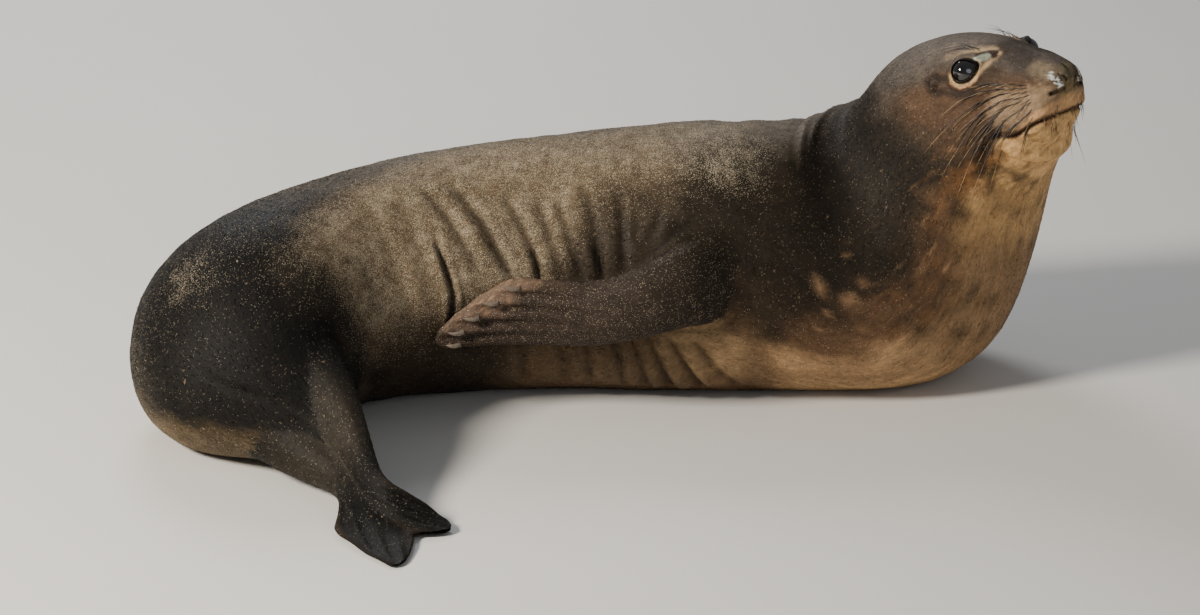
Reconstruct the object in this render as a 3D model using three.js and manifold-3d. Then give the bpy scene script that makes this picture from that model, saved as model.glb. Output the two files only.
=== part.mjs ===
// Adult female elephant seal at rest, life size: a still display model lying rolled on its left side.
// Millimetres, +Z up, floor at z = 0. The head is towards +X and the belly faces -Y.
import * as THREE from "three";
import { mergeVertices } from "three/addons/utils/BufferGeometryUtils.js";
import Module from "manifold-3d";

const wasm = await Module();
wasm.setup();

// Driving dimensions
const GAP = 0.3; // free space between touching parts
const ROUND_POWER = 2.2; // a little squarer than an ellipse
const FLOOR_SPREAD = 0.16; // how much the blubber spreads where it rests
const FLOOR_SPREAD_HEIGHT = 130;

// Head: where it is, and where it looks
const EYE_MIDDLE = [838, 190, 728];
const HEAD_YAW = -47; // degrees, turned from +X towards -Y
const HEAD_PITCH = 15;
const HEAD_ROLL = -2;

// Head stations, from the nose back. Each is a ring that leans back by tilt degrees from square to the head.
const HEAD_STATIONS = [
  { name: "nose", forward: 184, rise: -50, tilt: -13, up: 46, down: 36, side: 49 },
  { name: "lips", forward: 160, rise: -72, tilt: -10, up: 76, down: 64, side: 62 },
  { name: "whisker pads", forward: 132, rise: -78, tilt: -2, up: 97, down: 88, side: 76 },
  { name: "bridge", forward: 92, rise: -70, tilt: 12, up: 111, down: 110, side: 91 },
  { name: "eyes", forward: 40, rise: -68, tilt: 30, up: 154, down: 148, side: 108 },
  { name: "nape", forward: -55, rise: -106, tilt: 46, up: 230, down: 168, side: 161 },
];

// Body stations, from the neck back. Yaw and pitch are where the ring faces, roll is on to the left side.
const BODY_STATIONS = [
  { name: "neck", at: [735, 300, 440], yaw: -40, pitch: 54, roll: 2, up: 250, down: 228, side: 228 },
  { name: "breast", at: [638, 340, 335], yaw: -25, pitch: 33, roll: 12, up: 272, down: 326, side: 284 },
  { name: "shoulders", at: [500, 340, 270], yaw: -11, pitch: 15, roll: 22, up: 282, down: 306, side: 308 },
  { name: "chest", at: [310, 318, 258], yaw: -2, pitch: 6, roll: 32, up: 286, down: 284, side: 302 },
  { name: "back", at: [60, 318, 250], yaw: 1, pitch: 2, roll: 36, up: 278, down: 272, side: 286 },
  { name: "waist", at: [-200, 305, 242], yaw: 8, pitch: 1, roll: 36, up: 260, down: 260, side: 268 },
  { name: "loin", at: [-440, 245, 232], yaw: 24, pitch: 1, roll: 34, up: 248, down: 246, side: 256 },
  { name: "rump", at: [-640, 110, 222], yaw: 50, pitch: 3, roll: 32, up: 236, down: 234, side: 248 },
  { name: "hips", at: [-736, -84, 194], yaw: 82, pitch: 10, roll: 32, up: 222, down: 216, side: 246 },
  { name: "pelvis", at: [-680, -250, 138], yaw: 112, pitch: 20, roll: 34, up: 142, down: 140, side: 156 },
  { name: "tail root", at: [-574, -364, 108], yaw: 124, pitch: 18, roll: 36, up: 46, down: 46, side: 54 },
  { name: "tail end", at: [-522, -446, 88], yaw: 122, pitch: 14, roll: 36, up: 11, down: 12, side: 28 },
];

// Low forms of the head, on both sides: forward, right and up from between the eyes, spread, and rise
const HEAD_FORMS = [
  { name: "whisker pad", at: [152, 56, -84], spread: 36, rise: 9 },
  { name: "brow", at: [14, 94, 56], spread: 30, rise: 7 },
  { name: "eye bulge", at: [2, 112, 14], spread: 38, rise: 10 },
  { name: "hollow before the eye", at: [74, 76, 20], spread: 30, rise: -6 },
  { name: "cheek", at: [20, 120, -110], spread: 60, rise: 7 },
];

const rad = THREE.MathUtils.degToRad;
const vec = (a) => new THREE.Vector3(...a);

// Natural cubic spline through rows of numbers at increasing knots
function splineThrough(knots, rows) {
  const last = knots.length - 1;
  const second = rows.map((row) => row.map(() => 0));
  for (let k = 0; k < rows[0].length; k++) {
    const ratio = new Array(last + 1).fill(0);
    const value = new Array(last + 1).fill(0);
    for (let i = 1; i < last; i++) {
      const before = knots[i] - knots[i - 1];
      const after = knots[i + 1] - knots[i];
      const bend = (rows[i + 1][k] - rows[i][k]) / after - (rows[i][k] - rows[i - 1][k]) / before;
      const pivot = 2 * (before + after) - before * ratio[i - 1];
      ratio[i] = after / pivot;
      value[i] = (6 * bend - before * value[i - 1]) / pivot;
    }
    for (let i = last - 1; i > 0; i--) second[i][k] = value[i] - ratio[i] * second[i + 1][k];
  }
  return (t) => {
    let i = 0;
    while (i < last - 1 && t > knots[i + 1]) i++;
    const h = knots[i + 1] - knots[i];
    const a = (knots[i + 1] - t) / h;
    const b = (t - knots[i]) / h;
    return rows[i].map((y, k) => {
      const curve = ((a ** 3 - a) * second[i][k] + (b ** 3 - b) * second[i + 1][k]) * h * h;
      return a * y + b * rows[i + 1][k] + curve / 6;
    });
  };
}

// Distances along a chain of points
function knotsAlong(points) {
  const knots = [0];
  for (let i = 1; i < points.length; i++) {
    knots.push(knots[i - 1] + vec(points[i]).distanceTo(vec(points[i - 1])));
  }
  return knots;
}

// Axes of a ring that faces along yaw and pitch, with its right side turned up by roll
function axesFor(yaw, pitch, roll) {
  const forward = new THREE.Vector3(
    Math.cos(rad(pitch)) * Math.cos(rad(yaw)),
    Math.cos(rad(pitch)) * Math.sin(rad(yaw)),
    Math.sin(rad(pitch)),
  );
  const level = new THREE.Vector3().crossVectors(forward, new THREE.Vector3(0, 0, 1)).normalize();
  const upright = new THREE.Vector3().crossVectors(level, forward);
  const right = level.multiplyScalar(Math.cos(rad(roll))).addScaledVector(upright, Math.sin(rad(roll)));
  const up = new THREE.Vector3().crossVectors(right, forward);
  return { forward, right, up };
}

const HEAD = axesFor(HEAD_YAW, HEAD_PITCH, HEAD_ROLL);
const headPoint = (forward, right, up) =>
  vec(EYE_MIDDLE)
    .addScaledVector(HEAD.forward, forward)
    .addScaledVector(HEAD.right, right)
    .addScaledVector(HEAD.up, up);

const STATIONS = [
  ...HEAD_STATIONS.map((s) => ({
    ...s,
    at: headPoint(s.forward, 0, s.rise).toArray(),
    yaw: HEAD_YAW,
    pitch: HEAD_PITCH + s.tilt,
    roll: HEAD_ROLL,
  })),
  ...BODY_STATIONS,
];
const KNOTS = knotsAlong(STATIONS.map((s) => s.at));
const stem = splineThrough(
  KNOTS,
  STATIONS.map((s) => [...s.at, s.up, s.down, s.side, s.yaw, s.pitch, s.roll]),
);
const distanceTo = (name) => KNOTS[STATIONS.findIndex((s) => s.name === name)];
const LENGTH = KNOTS[KNOTS.length - 1];

// Where the stem is at a distance from the first station, with its axes and half sizes
function stemFrame(s) {
  const row = stem(s);
  return { at: vec(row.slice(0, 3)), sizes: row.slice(3, 6), ...axesFor(row[6], row[7], row[8]) };
}

// The nose and the tail close over as round ends
const NOSE_TIP = -24;
const NOSE_ROUND = 58;
const NOSE_POWER = 2.4;
const TAIL_ROUND = 50;
function endRounding(s) {
  const nose = Math.min((s - NOSE_TIP) / NOSE_ROUND, 1);
  const tail = Math.min((LENGTH - s) / TAIL_ROUND, 1);
  return (1 - (1 - nose) ** NOSE_POWER) ** (1 / NOSE_POWER) * Math.sqrt(1 - (1 - tail) ** 2);
}
// The distance at which the nose has rounded out to a share of its full size
const noseDistance = (share) =>
  NOSE_TIP + NOSE_ROUND * (1 - (1 - share ** NOSE_POWER) ** (1 / NOSE_POWER));

const power = (x) => Math.sign(x) * Math.abs(x) ** (2 / ROUND_POWER);

function headRelief(p) {
  const d = p.clone().sub(vec(EYE_MIDDLE));
  const q = [d.dot(HEAD.forward), Math.abs(d.dot(HEAD.right)), d.dot(HEAD.up)];
  let rise = 0;
  for (const form of HEAD_FORMS) {
    const away = Math.hypot(q[0] - form.at[0], q[1] - form.at[1], q[2] - form.at[2]);
    rise += form.rise * Math.exp(-((away / form.spread) ** 2));
  }
  return rise;
}

// A point on the skin of the stem: distance from the first station, and angle from the back by the right side
function stemPoint(s, angle) {
  const f = stemFrame(s);
  const [up, down, side] = f.sizes;
  const round = endRounding(s);
  const c = power(Math.cos(angle));
  const across = side * round * power(Math.sin(angle));
  const rise = (c > 0 ? up : down) * round * c;
  const p = f.at.clone().addScaledVector(f.right, across).addScaledVector(f.up, rise);
  if (s < distanceTo("neck")) {
    const out = p.clone().sub(f.at).normalize();
    p.addScaledVector(out, headRelief(p));
  }
  const spread = FLOOR_SPREAD * Math.exp(-((Math.max(p.z, 0) / FLOOR_SPREAD_HEIGHT) ** 2));
  p.x += (p.x - f.at.x) * spread;
  p.y += (p.y - f.at.y) * spread;
  return p;
}

// A closed mesh over rings of points: pointAt(ring, step). An end is closed by a fan, or by pairing its faces
function closedLoft(rings, steps, pointAt, pairedEnd = false) {
  const points = [];
  for (let i = 0; i < rings; i++) for (let j = 0; j < steps; j++) points.push(pointAt(i, j));
  const index = [];
  for (let i = 0; i + 1 < rings; i++) {
    for (let j = 0; j < steps; j++) {
      const a = i * steps + j;
      const b = i * steps + ((j + 1) % steps);
      // Both halves are split alike, so that the two faces of a thin fin never cross
      if (j < steps / 2) index.push(a, b, a + steps, b, b + steps, a + steps);
      else index.push(a, b, b + steps, a, b + steps, a + steps);
    }
  }
  const fan = (ring, flip) => {
    const middle = new THREE.Vector3();
    for (let j = 0; j < steps; j++) middle.addScaledVector(points[ring * steps + j], 1 / steps);
    const m = points.push(middle) - 1;
    for (let j = 0; j < steps; j++) {
      const a = ring * steps + j;
      const b = ring * steps + ((j + 1) % steps);
      index.push(...(flip ? [m, b, a] : [m, a, b]));
    }
  };
  fan(0, true);
  if (pairedEnd) {
    const base = (rings - 1) * steps;
    for (let j = 0; j < steps / 2; j++) {
      const [a, b] = [base + j, base + j + 1];
      const [c, d] = [base + ((steps - j - 1) % steps), base + ((steps - j) % steps)];
      if (j < steps / 2 - 1) index.push(a, b, c);
      if (j > 0) index.push(a, c, d);
    }
  } else fan(rings - 1, false);
  let volume = 0;
  for (let i = 0; i < index.length; i += 3) {
    const [a, b, c] = [points[index[i]], points[index[i + 1]], points[index[i + 2]]];
    volume += a.dot(new THREE.Vector3().crossVectors(b, c));
  }
  if (volume < 0) index.reverse();
  const geometry = new THREE.BufferGeometry().setFromPoints(points);
  geometry.setIndex(index);
  return geometry;
}

// Evenly spaced numbers from one to another, ends included
const spaced = (from, to, count) =>
  Array.from({ length: count }, (_, i) => from + ((to - from) * i) / (count - 1));

// The stem between two distances as one closed geometry
function stemGeometry(distances, steps) {
  return closedLoft(distances.length, steps, (i, j) => stemPoint(distances[i], (2 * Math.PI * j) / steps));
}

// A closed geometry moved out along its own normals
function grown(geometry, by) {
  const moved = geometry.clone();
  moved.computeVertexNormals();
  const { position, normal } = moved.attributes;
  for (let i = 0; i < position.count; i++) {
    const p = new THREE.Vector3().fromBufferAttribute(position, i);
    p.addScaledVector(new THREE.Vector3().fromBufferAttribute(normal, i), by);
    position.setXYZ(i, ...p);
  }
  return moved;
}

// Flipper skin: ridges over the digits, hollow web between them, and a thin rounded tip
const DIGIT_SPREAD = 0.12; // of the half width
const DIGIT_RISE = 0.62; // of the half thickness
const WEB_HOLLOW = 0.34;
const DIGIT_START = 0.25; // share of the limb over which the ridges rise
const TIP_SHARE = 0.07; // share of the limb over which the tip thins
const TIP_THICKNESS = 0.35;
const EDGE_POWER = 0.75; // how full the section is towards its edges

// A limb as a flattened stem. Each station has its centre, half width, half thickness, and which way is wide.
// Past the wrist its columns reach as far as their digits do.
// A point on it: share of the way to the tip, and angle round from the trailing edge over the outer face
function limbSurface(spec) {
  const knots = knotsAlong(spec.stations.map((s) => s.at));
  const total = knots[knots.length - 1];
  const path = splineThrough(
    knots,
    spec.stations.map((s) => [...s.at, s.half, s.thick, ...s.wide]),
  );
  const ridge = (q) => spec.digits.reduce((sum, at) => sum + Math.exp(-(((q - at) / DIGIT_SPREAD) ** 2)), 0);
  return (t, angle) => {
    const q = -Math.cos(angle);
    const past = Math.max(t - spec.wrist, 0) / (1 - spec.wrist);
    const s = total * (Math.min(t, spec.wrist) + past * (spec.reach(q) - spec.wrist));
    const row = path(s);
    const next = Math.min(s + 2, total);
    const along = vec(path(next).slice(0, 3)).sub(vec(path(next - 4).slice(0, 3))).normalize();
    const wide = vec(row.slice(5, 8));
    wide.addScaledVector(along, -wide.dot(along)).normalize();
    const out = new THREE.Vector3().crossVectors(wide, along).normalize();
    const hand = THREE.MathUtils.smoothstep(t, spec.digitsFrom, spec.digitsFrom + DIGIT_START);
    const tip = Math.max(1 - (1 - t) / TIP_SHARE, 0);
    const thinning = TIP_THICKNESS + (1 - TIP_THICKNESS) * Math.sqrt(Math.max(1 - tip ** 2, 0));
    const lift = Math.sin(angle);
    const swell = 1 - hand * (WEB_HOLLOW - DIGIT_RISE * ridge(q));
    const thick = row[4] * swell * Math.abs(lift) ** EDGE_POWER * thinning * Math.sign(lift);
    return vec(row.slice(0, 3)).addScaledVector(wide, row[3] * q).addScaledVector(out, thick);
  };
}
// A stretch of a limb, with rings at the given shares of its length. A ring at the tip is closed by pairing
function limbGeometry(spec, at, steps) {
  const surface = limbSurface(spec);
  const pointAt = (i, j) => surface(at[i], (2 * Math.PI * j) / steps);
  return closedLoft(at.length, steps, pointAt, at.at(-1) === 1);
}

const FORE_DIGITS = [-0.84, -0.44, -0.02, 0.4, 0.82];
// How far each digit reaches, as a share of the limb, from the trailing edge at -1 to the leading edge at 1
const foreReach = (q) => 1 - 0.26 * ((1 - q) / 2) ** 1.4 - 0.06 * Math.max(q, 0) ** 4;
const FOREFLIPPER_RIGHT = {
  digits: FORE_DIGITS,
  digitsFrom: 0.5,
  wrist: 0.4,
  reach: foreReach,
  stations: [
    { at: [300, 150, 296], half: 100, thick: 72, wide: [0, -0.2, -1] },
    { at: [200, 30, 300], half: 92, thick: 62, wide: [0, -0.1, -1] },
    { at: [109, -8, 276], half: 76, thick: 52, wide: [0, 0, -1] },
    { at: [0, -12, 248], half: 70, thick: 43, wide: [0, 0.05, -1] },
    { at: [-110, -6, 246], half: 74, thick: 32, wide: [0, 0.1, -1] },
    { at: [-230, -6, 246], half: 78, thick: 21, wide: [0, 0.15, -1] },
    { at: [-375, -20, 232], half: 74, thick: 13, wide: [0.1, 0.2, -1] },
  ],
};
const FOREFLIPPER_LEFT = {
  digits: FORE_DIGITS,
  digitsFrom: 0.5,
  wrist: 0.4,
  reach: foreReach,
  stations: [
    { at: [430, 420, 110], half: 100, thick: 60, wide: [0.6, 0.8, 0] },
    { at: [400, 560, 66], half: 88, thick: 48, wide: [0.8, 0.6, 0] },
    { at: [320, 640, 44], half: 76, thick: 36, wide: [0.4, 0.9, 0] },
    { at: [210, 680, 28], half: 70, thick: 26, wide: [0.2, 1, 0] },
    { at: [90, 700, 17], half: 74, thick: 17, wide: [0, 1, 0] },
    { at: [-40, 705, 12], half: 78, thick: 12, wide: [0, 1, 0] },
    { at: [-190, 700, 8], half: 74, thick: 8, wide: [0, 1, 0] },
  ],
};
const HIND_DIGITS = [-0.86, -0.46, 0, 0.46, 0.86];
const ANKLE = 0.56; // share of the limb
const HIND_LEFT = {
  digits: HIND_DIGITS,
  digitsFrom: 0.58,
  wrist: ANKLE,
  reach: (q) => 1 - 0.26 * Math.max(0.1 - q, 0) ** 1.4 - 0.24 * Math.max(q - 0.1, 0) ** 2.4,
  stations: [
    { at: [-700, -180, 112], half: 100, thick: 88, wide: [1, 0.4, 0] },
    { at: [-658, -276, 98], half: 86, thick: 78, wide: [1, 0.5, 0.1] },
    { at: [-584, -380, 74], half: 60, thick: 56, wide: [1, 0.5, 0.2] },
    { at: [-514, -478, 50], half: 36, thick: 36, wide: [1, 0.4, 0.2] },
    { at: [-492, -542, 34], half: 38, thick: 26, wide: [1, 0.3, 0.2] },
    { at: [-470, -602, 20], half: 68, thick: 17, wide: [1, 0.3, 0.1] },
    { at: [-452, -665, 12], half: 78, thick: 11, wide: [1, 0.3, 0] },
    { at: [-434, -740, 8], half: 74, thick: 8, wide: [1, 0.3, 0] },
    { at: [-416, -815, 6], half: 66, thick: 6, wide: [1, 0.3, 0] },
  ],
};
const HIND_RIGHT = {
  digits: HIND_DIGITS,
  digitsFrom: 0.66,
  wrist: ANKLE,
  reach: (q) => 1 - 0.14 * Math.abs(q) ** 2.4,
  stations: [
    { at: [-616, -190, 206], half: 90, thick: 74, wide: [0, 0.4, 1] },
    { at: [-560, -318, 158], half: 74, thick: 54, wide: [0.2, 0.4, 1] },
    { at: [-508, -425, 112], half: 50, thick: 36, wide: [0.2, 0.3, 1] },
    { at: [-482, -485, 88], half: 38, thick: 28, wide: [0.2, 0.2, 1] },
    { at: [-458, -545, 66], half: 36, thick: 22, wide: [0.2, 0.2, 1] },
    { at: [-424, -590, 48], half: 40, thick: 17, wide: [0.2, 0.6, 0.8] },
    { at: [-380, -610, 30], half: 48, thick: 12, wide: [0.2, 1, 0.5] },
    { at: [-336, -620, 17], half: 52, thick: 9, wide: [0.15, 1, 0.2] },
    { at: [-296, -628, 10], half: 48, thick: 7, wide: [0.15, 1, 0.05] },
  ],
};

// Solids from closed geometries, and back
function toSolid(geometry) {
  const bare = geometry.clone();
  bare.deleteAttribute("normal");
  bare.deleteAttribute("uv");
  const merged = mergeVertices(bare, 1e-5);
  return new wasm.Manifold(
    new wasm.Mesh({
      numProp: 3,
      vertProperties: new Float32Array(merged.attributes.position.array),
      triVerts: new Uint32Array(merged.index.array),
    }),
  );
}
function toGeometry(solid) {
  const mesh = solid.getMesh();
  const geometry = new THREE.BufferGeometry();
  geometry.setAttribute("position", new THREE.BufferAttribute(new Float32Array(mesh.vertProperties), 3));
  geometry.setIndex(new THREE.BufferAttribute(new Uint32Array(mesh.triVerts), 1));
  return geometry;
}
// The largest closed surface of a solid
const largest = (solid) => solid.decompose().reduce((a, b) => (a.volume() > b.volume() ? a : b));

// Everything below the floor is cut away, which leaves the flats that the model rests on
const FLOOR_BLOCK = toSolid(new THREE.BoxGeometry(4000, 4000, 400).translate(0, 0, -200));
const onFloor = (solid) => largest(solid.subtract(FLOOR_BLOCK));

const group = new THREE.Group();
function addPart(name, geometry, finish) {
  const mesh = new THREE.Mesh(geometry, new THREE.MeshStandardMaterial(finish));
  mesh.name = name;
  group.add(mesh);
}
const HIDE = { color: 0x5e5143, roughness: 0.72, metalness: 0 };
const FLIPPER_SKIN = { color: 0x3f3630, roughness: 0.6, metalness: 0 };
const EYE_GLOSS = { color: 0x0b0908, roughness: 0.06, metalness: 0 };
const CLAW_HORN = { color: 0x1e1a17, roughness: 0.4, metalness: 0 };

// Body lengths between stations, each with its number of rings
const BODY_STEPS = 40;
const BODY_PARTS = [
  { name: "neck", from: "nape", to: "breast", rings: 8 },
  { name: "chest", from: "breast", to: "chest", rings: 7 },
  { name: "torso", from: "chest", to: "waist", rings: 7 },
  { name: "loin", from: "waist", to: "rump", rings: 8 },
  { name: "hips", from: "rump", to: "tail root", rings: 9 },
];
const bodyRings = BODY_PARTS.map((part) =>
  spaced(distanceTo(part.from) + GAP / 2, distanceTo(part.to) - GAP / 2, part.rings),
);
const TAIL_RINGS = 6;
const TAIL_TIP = 1; // how far short of its end the tail's last ring is
const tailRings = spaced(distanceTo("tail root") + GAP / 2, LENGTH - TAIL_TIP, TAIL_RINGS);
BODY_PARTS.forEach((part, i) => {
  addPart(part.name, toGeometry(onFloor(toSolid(stemGeometry(bodyRings[i], BODY_STEPS)))), HIDE);
});
addPart("tail", toGeometry(onFloor(toSolid(stemGeometry(tailRings, BODY_STEPS)))), HIDE);

// What the limbs are cut by: the body, larger all round by the gap
const grownRings = [...bodyRings.flat(), ...tailRings, LENGTH - TAIL_TIP + GAP];
const bodyGrown = toSolid(grown(stemGeometry(grownRings, BODY_STEPS), GAP));

// Solids placed in the head's own axes: x forward, y up, z right
const HEAD_MATRIX = new THREE.Matrix4()
  .makeBasis(HEAD.forward, HEAD.up, HEAD.right)
  .setPosition(...EYE_MIDDLE);
const headSolid = (geometry) => toSolid(geometry.applyMatrix4(HEAD_MATRIX));

// A geometry turned so that its x, y and z run along the three given directions, and moved to a place
function placed(geometry, place, x, y) {
  const ax = vec(x).normalize();
  const az = new THREE.Vector3().crossVectors(ax, vec(y)).normalize();
  const ay = new THREE.Vector3().crossVectors(az, ax);
  return geometry.applyMatrix4(new THREE.Matrix4().makeBasis(ax, ay, az).setPosition(...place));
}

// Eyes, in forward, up and right from between the eyes
const EYE_RADIUS = 31;
const EYE_PLACE = [-12, 6, 90];
const EYE_LOOK = [0.42, 0.36, 0.83];
const EYE_SLIT = [0.78, 0.35, -0.5];
const EYE_OPENING = { length: 25.5, height: 22.5, depth: 36, flare: 0.25 }; // half sizes at the eye's front
const LID_THICKNESS = 4.5;
const mirrored = (v, side) => [v[0], v[1], v[2] * side];
const eyeBall = (radius, side) =>
  new THREE.SphereGeometry(radius, 18, 11).translate(...mirrored(EYE_PLACE, side));
function lidOpening(side) {
  const front = vec(EYE_PLACE).addScaledVector(vec(EYE_LOOK).normalize(), EYE_RADIUS);
  const { length, height, depth, flare } = EYE_OPENING;
  const cone = new THREE.CylinderGeometry(1 + flare, 1 - flare, depth, 20).scale(length, 1, height);
  return placed(cone, mirrored(front.toArray(), side), mirrored(EYE_SLIT, side), mirrored(EYE_LOOK, side));
}

// Nostril slits and ear pits
const NOSTRIL = { at: [198, -57, 36], along: [-0.72, -0.32, 0.6], half: [18, 5, 13], out: [0.66, 0.1, 0.74] };
const EAR = { at: [-74, -17, 126], rim: 9, ridge: 3.5, pit: 6.5, depth: 16 };
function nostril(side) {
  const shape = new THREE.SphereGeometry(1, 12, 8).scale(...NOSTRIL.half);
  const along = mirrored(NOSTRIL.along, side);
  const across = new THREE.Vector3().crossVectors(vec(mirrored(NOSTRIL.out, side)), vec(along)).toArray();
  return placed(shape, mirrored(NOSTRIL.at, side), along, across);
}

// Lower jaw: its side outline, forward and up, from the lips back along the mouth and down the throat crease
const MOUTH_LINE = [
  [240, -116],
  [200, -104],
  [166, -105],
  [130, -118],
  [92, -136],
  [72, -136],
];
const THROAT_CREASE = [
  [60, -156],
  [70, -182],
  [92, -210],
  [120, -232],
  [144, -262],
  [240, -262],
];
const JAW_SHIFT = [0.8, -0.3]; // keeps the jaw clear of the upper lip and throat
const HALF_JAW = 140;
function acrossHead(outline) {
  const shape = new THREE.Shape(outline.map(([x, y]) => new THREE.Vector2(x, y)));
  const geometry = new THREE.ExtrudeGeometry(shape, { depth: 2 * HALF_JAW, bevelEnabled: false });
  return geometry.translate(0, 0, -HALF_JAW);
}
const JAW_OUTLINE = [...MOUTH_LINE, ...THROAT_CREASE];
const LIP_GROOVE = { height: 5, depth: 5 };
const lipStrip = [
  ...MOUTH_LINE.map(([x, y]) => [x, y + LIP_GROOVE.height / 2]),
  ...MOUTH_LINE.map(([x, y]) => [x, y - LIP_GROOVE.height / 2]).reverse(),
];

const HEAD_STEPS = 44;
const HEAD_RINGS = 17;
const FIRST_RING = 10; // where the rings behind the rounded nose begin
const CORE_STEPS = 24;
const CORE_RINGS = 9;
const NOSE_SIZES = [0.14, 0.34, 0.54, 0.72, 0.86, 0.95]; // shares of its full size
const noseRings = NOSE_SIZES.map(noseDistance);
const headRings = [...noseRings, ...spaced(FIRST_RING, distanceTo("nape") - GAP / 2, HEAD_RINGS)];
const headLoft = toSolid(stemGeometry(headRings, HEAD_STEPS));
const coreRings = [0.4, 0.8].map(noseDistance).concat(spaced(FIRST_RING, distanceTo("bridge"), CORE_RINGS));
const headCore = toSolid(grown(stemGeometry(coreRings, CORE_STEPS), -LIP_GROOVE.depth));
let head = headLoft;
for (const side of [1, -1]) {
  head = head.add(headSolid(eyeBall(EYE_RADIUS + LID_THICKNESS, side)));
  const rim = new THREE.TorusGeometry(EAR.rim, EAR.ridge, 6, 14);
  head = head.add(headSolid(placed(rim, mirrored(EAR.at, side), [1, 0, 0], [0, 1, 0])));
}
for (const side of [1, -1]) {
  head = head.subtract(headSolid(eyeBall(EYE_RADIUS + GAP, side)));
  head = head.subtract(headSolid(lidOpening(side)));
  head = head.subtract(headSolid(nostril(side)));
  const pit = new THREE.SphereGeometry(1, 10, 8).scale(EAR.pit, EAR.pit, EAR.depth);
  head = head.subtract(headSolid(pit.translate(...mirrored(EAR.at, side))));
}
const groove = headSolid(acrossHead(lipStrip)).subtract(headCore);
head = head.subtract(groove).subtract(headSolid(acrossHead(JAW_OUTLINE)));
addPart("head", toGeometry(largest(head)), HIDE);
const jawOutline = JAW_OUTLINE.map(([x, y]) => [x + JAW_SHIFT[0], y + JAW_SHIFT[1]]);
const jaw = headLoft.intersect(headSolid(acrossHead(jawOutline))).subtract(groove);
addPart("lower_jaw", toGeometry(largest(jaw)), HIDE);
for (const side of [1, -1]) {
  const eye = eyeBall(EYE_RADIUS, side).applyMatrix4(HEAD_MATRIX);
  addPart(side > 0 ? "eye_right" : "eye_left", toGeometry(toSolid(eye)), EYE_GLOSS);
}

// Foreflippers, cut clear of the body, each with five claws set on its digits
const FORE_RINGS = spaced(0, 1, 18);
const FORE_STEPS = 40;
const CLAW_AT = 0.94; // share of the way to the digit's tip
const CLAW_BEHIND = 0.08;
const CLAW = { length: 34, root: 7, sink: 3, back: 0.25, curl: 7, narrow: 0.8, tip: 0.4 };
const CLAW_RINGS = 6;
const CLAW_STEPS = 6;
function clawGeometry(surface, place, outward) {
  const angle = outward * Math.acos(-place);
  const root = surface(CLAW_AT, angle);
  const along = root.clone().sub(surface(CLAW_AT - CLAW_BEHIND, angle)).normalize();
  const out = root.clone().sub(surface(CLAW_AT, -angle)).normalize();
  const side = new THREE.Vector3().crossVectors(along, out).normalize();
  return closedLoft(CLAW_RINGS, CLAW_STEPS, (i, j) => {
    const u = i / (CLAW_RINGS - 1);
    const size = Math.max(CLAW.root * Math.sqrt(1 - u ** 1.5), CLAW.tip);
    const turn = (2 * Math.PI * j) / CLAW_STEPS;
    return root
      .clone()
      .addScaledVector(along, CLAW.length * (u - CLAW.back))
      .addScaledVector(out, -CLAW.sink + CLAW.curl * Math.sin(Math.PI * u))
      .addScaledVector(side, CLAW.narrow * size * Math.cos(turn))
      .addScaledVector(out, size * Math.sin(turn));
  });
}
for (const [sideName, spec, outward] of [
  ["right", FOREFLIPPER_RIGHT, -1],
  ["left", FOREFLIPPER_LEFT, 1],
]) {
  const shape = limbGeometry(spec, FORE_RINGS, FORE_STEPS);
  const flipper = toSolid(shape).subtract(bodyGrown);
  addPart("foreflipper_" + sideName, toGeometry(onFloor(flipper)), FLIPPER_SKIN);
  const flipperGrown = toSolid(grown(shape, GAP));
  const surface = limbSurface(spec);
  spec.digits.forEach((place, i) => {
    const claw = toSolid(clawGeometry(surface, place, outward)).subtract(flipperGrown);
    addPart(`claw_${sideName}_${spec.digits.length - i}`, toGeometry(onFloor(claw)), CLAW_HORN);
  });
}

// Hind limbs to the ankle, and the hind flippers beyond it
const ANKLE_GAP = 0.0006;
const HIND_STEPS = 28;
const LIMB_RINGS = spaced(0, ANKLE, 9);
const HIND_RINGS = spaced(ANKLE + ANKLE_GAP, 1, 12);
let cutBy = bodyGrown;
for (const [sideName, spec] of [
  ["left", HIND_LEFT],
  ["right", HIND_RIGHT],
]) {
  const limb = limbGeometry(spec, LIMB_RINGS, HIND_STEPS);
  const flipper = limbGeometry(spec, HIND_RINGS, HIND_STEPS);
  addPart("hind_limb_" + sideName, toGeometry(onFloor(toSolid(limb).subtract(cutBy))), HIDE);
  addPart("hind_flipper_" + sideName, toGeometry(onFloor(toSolid(flipper).subtract(cutBy))), FLIPPER_SKIN);
  cutBy = cutBy.add(toSolid(grown(limb, GAP))).add(toSolid(grown(flipper, GAP)));
}

// The origin is on the floor, under the middle of the model
const FOOTPRINT_MIDDLE = [13, -14];
group.position.set(-FOOTPRINT_MIDDLE[0], -FOOTPRINT_MIDDLE[1], 0);

export default group;
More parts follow.
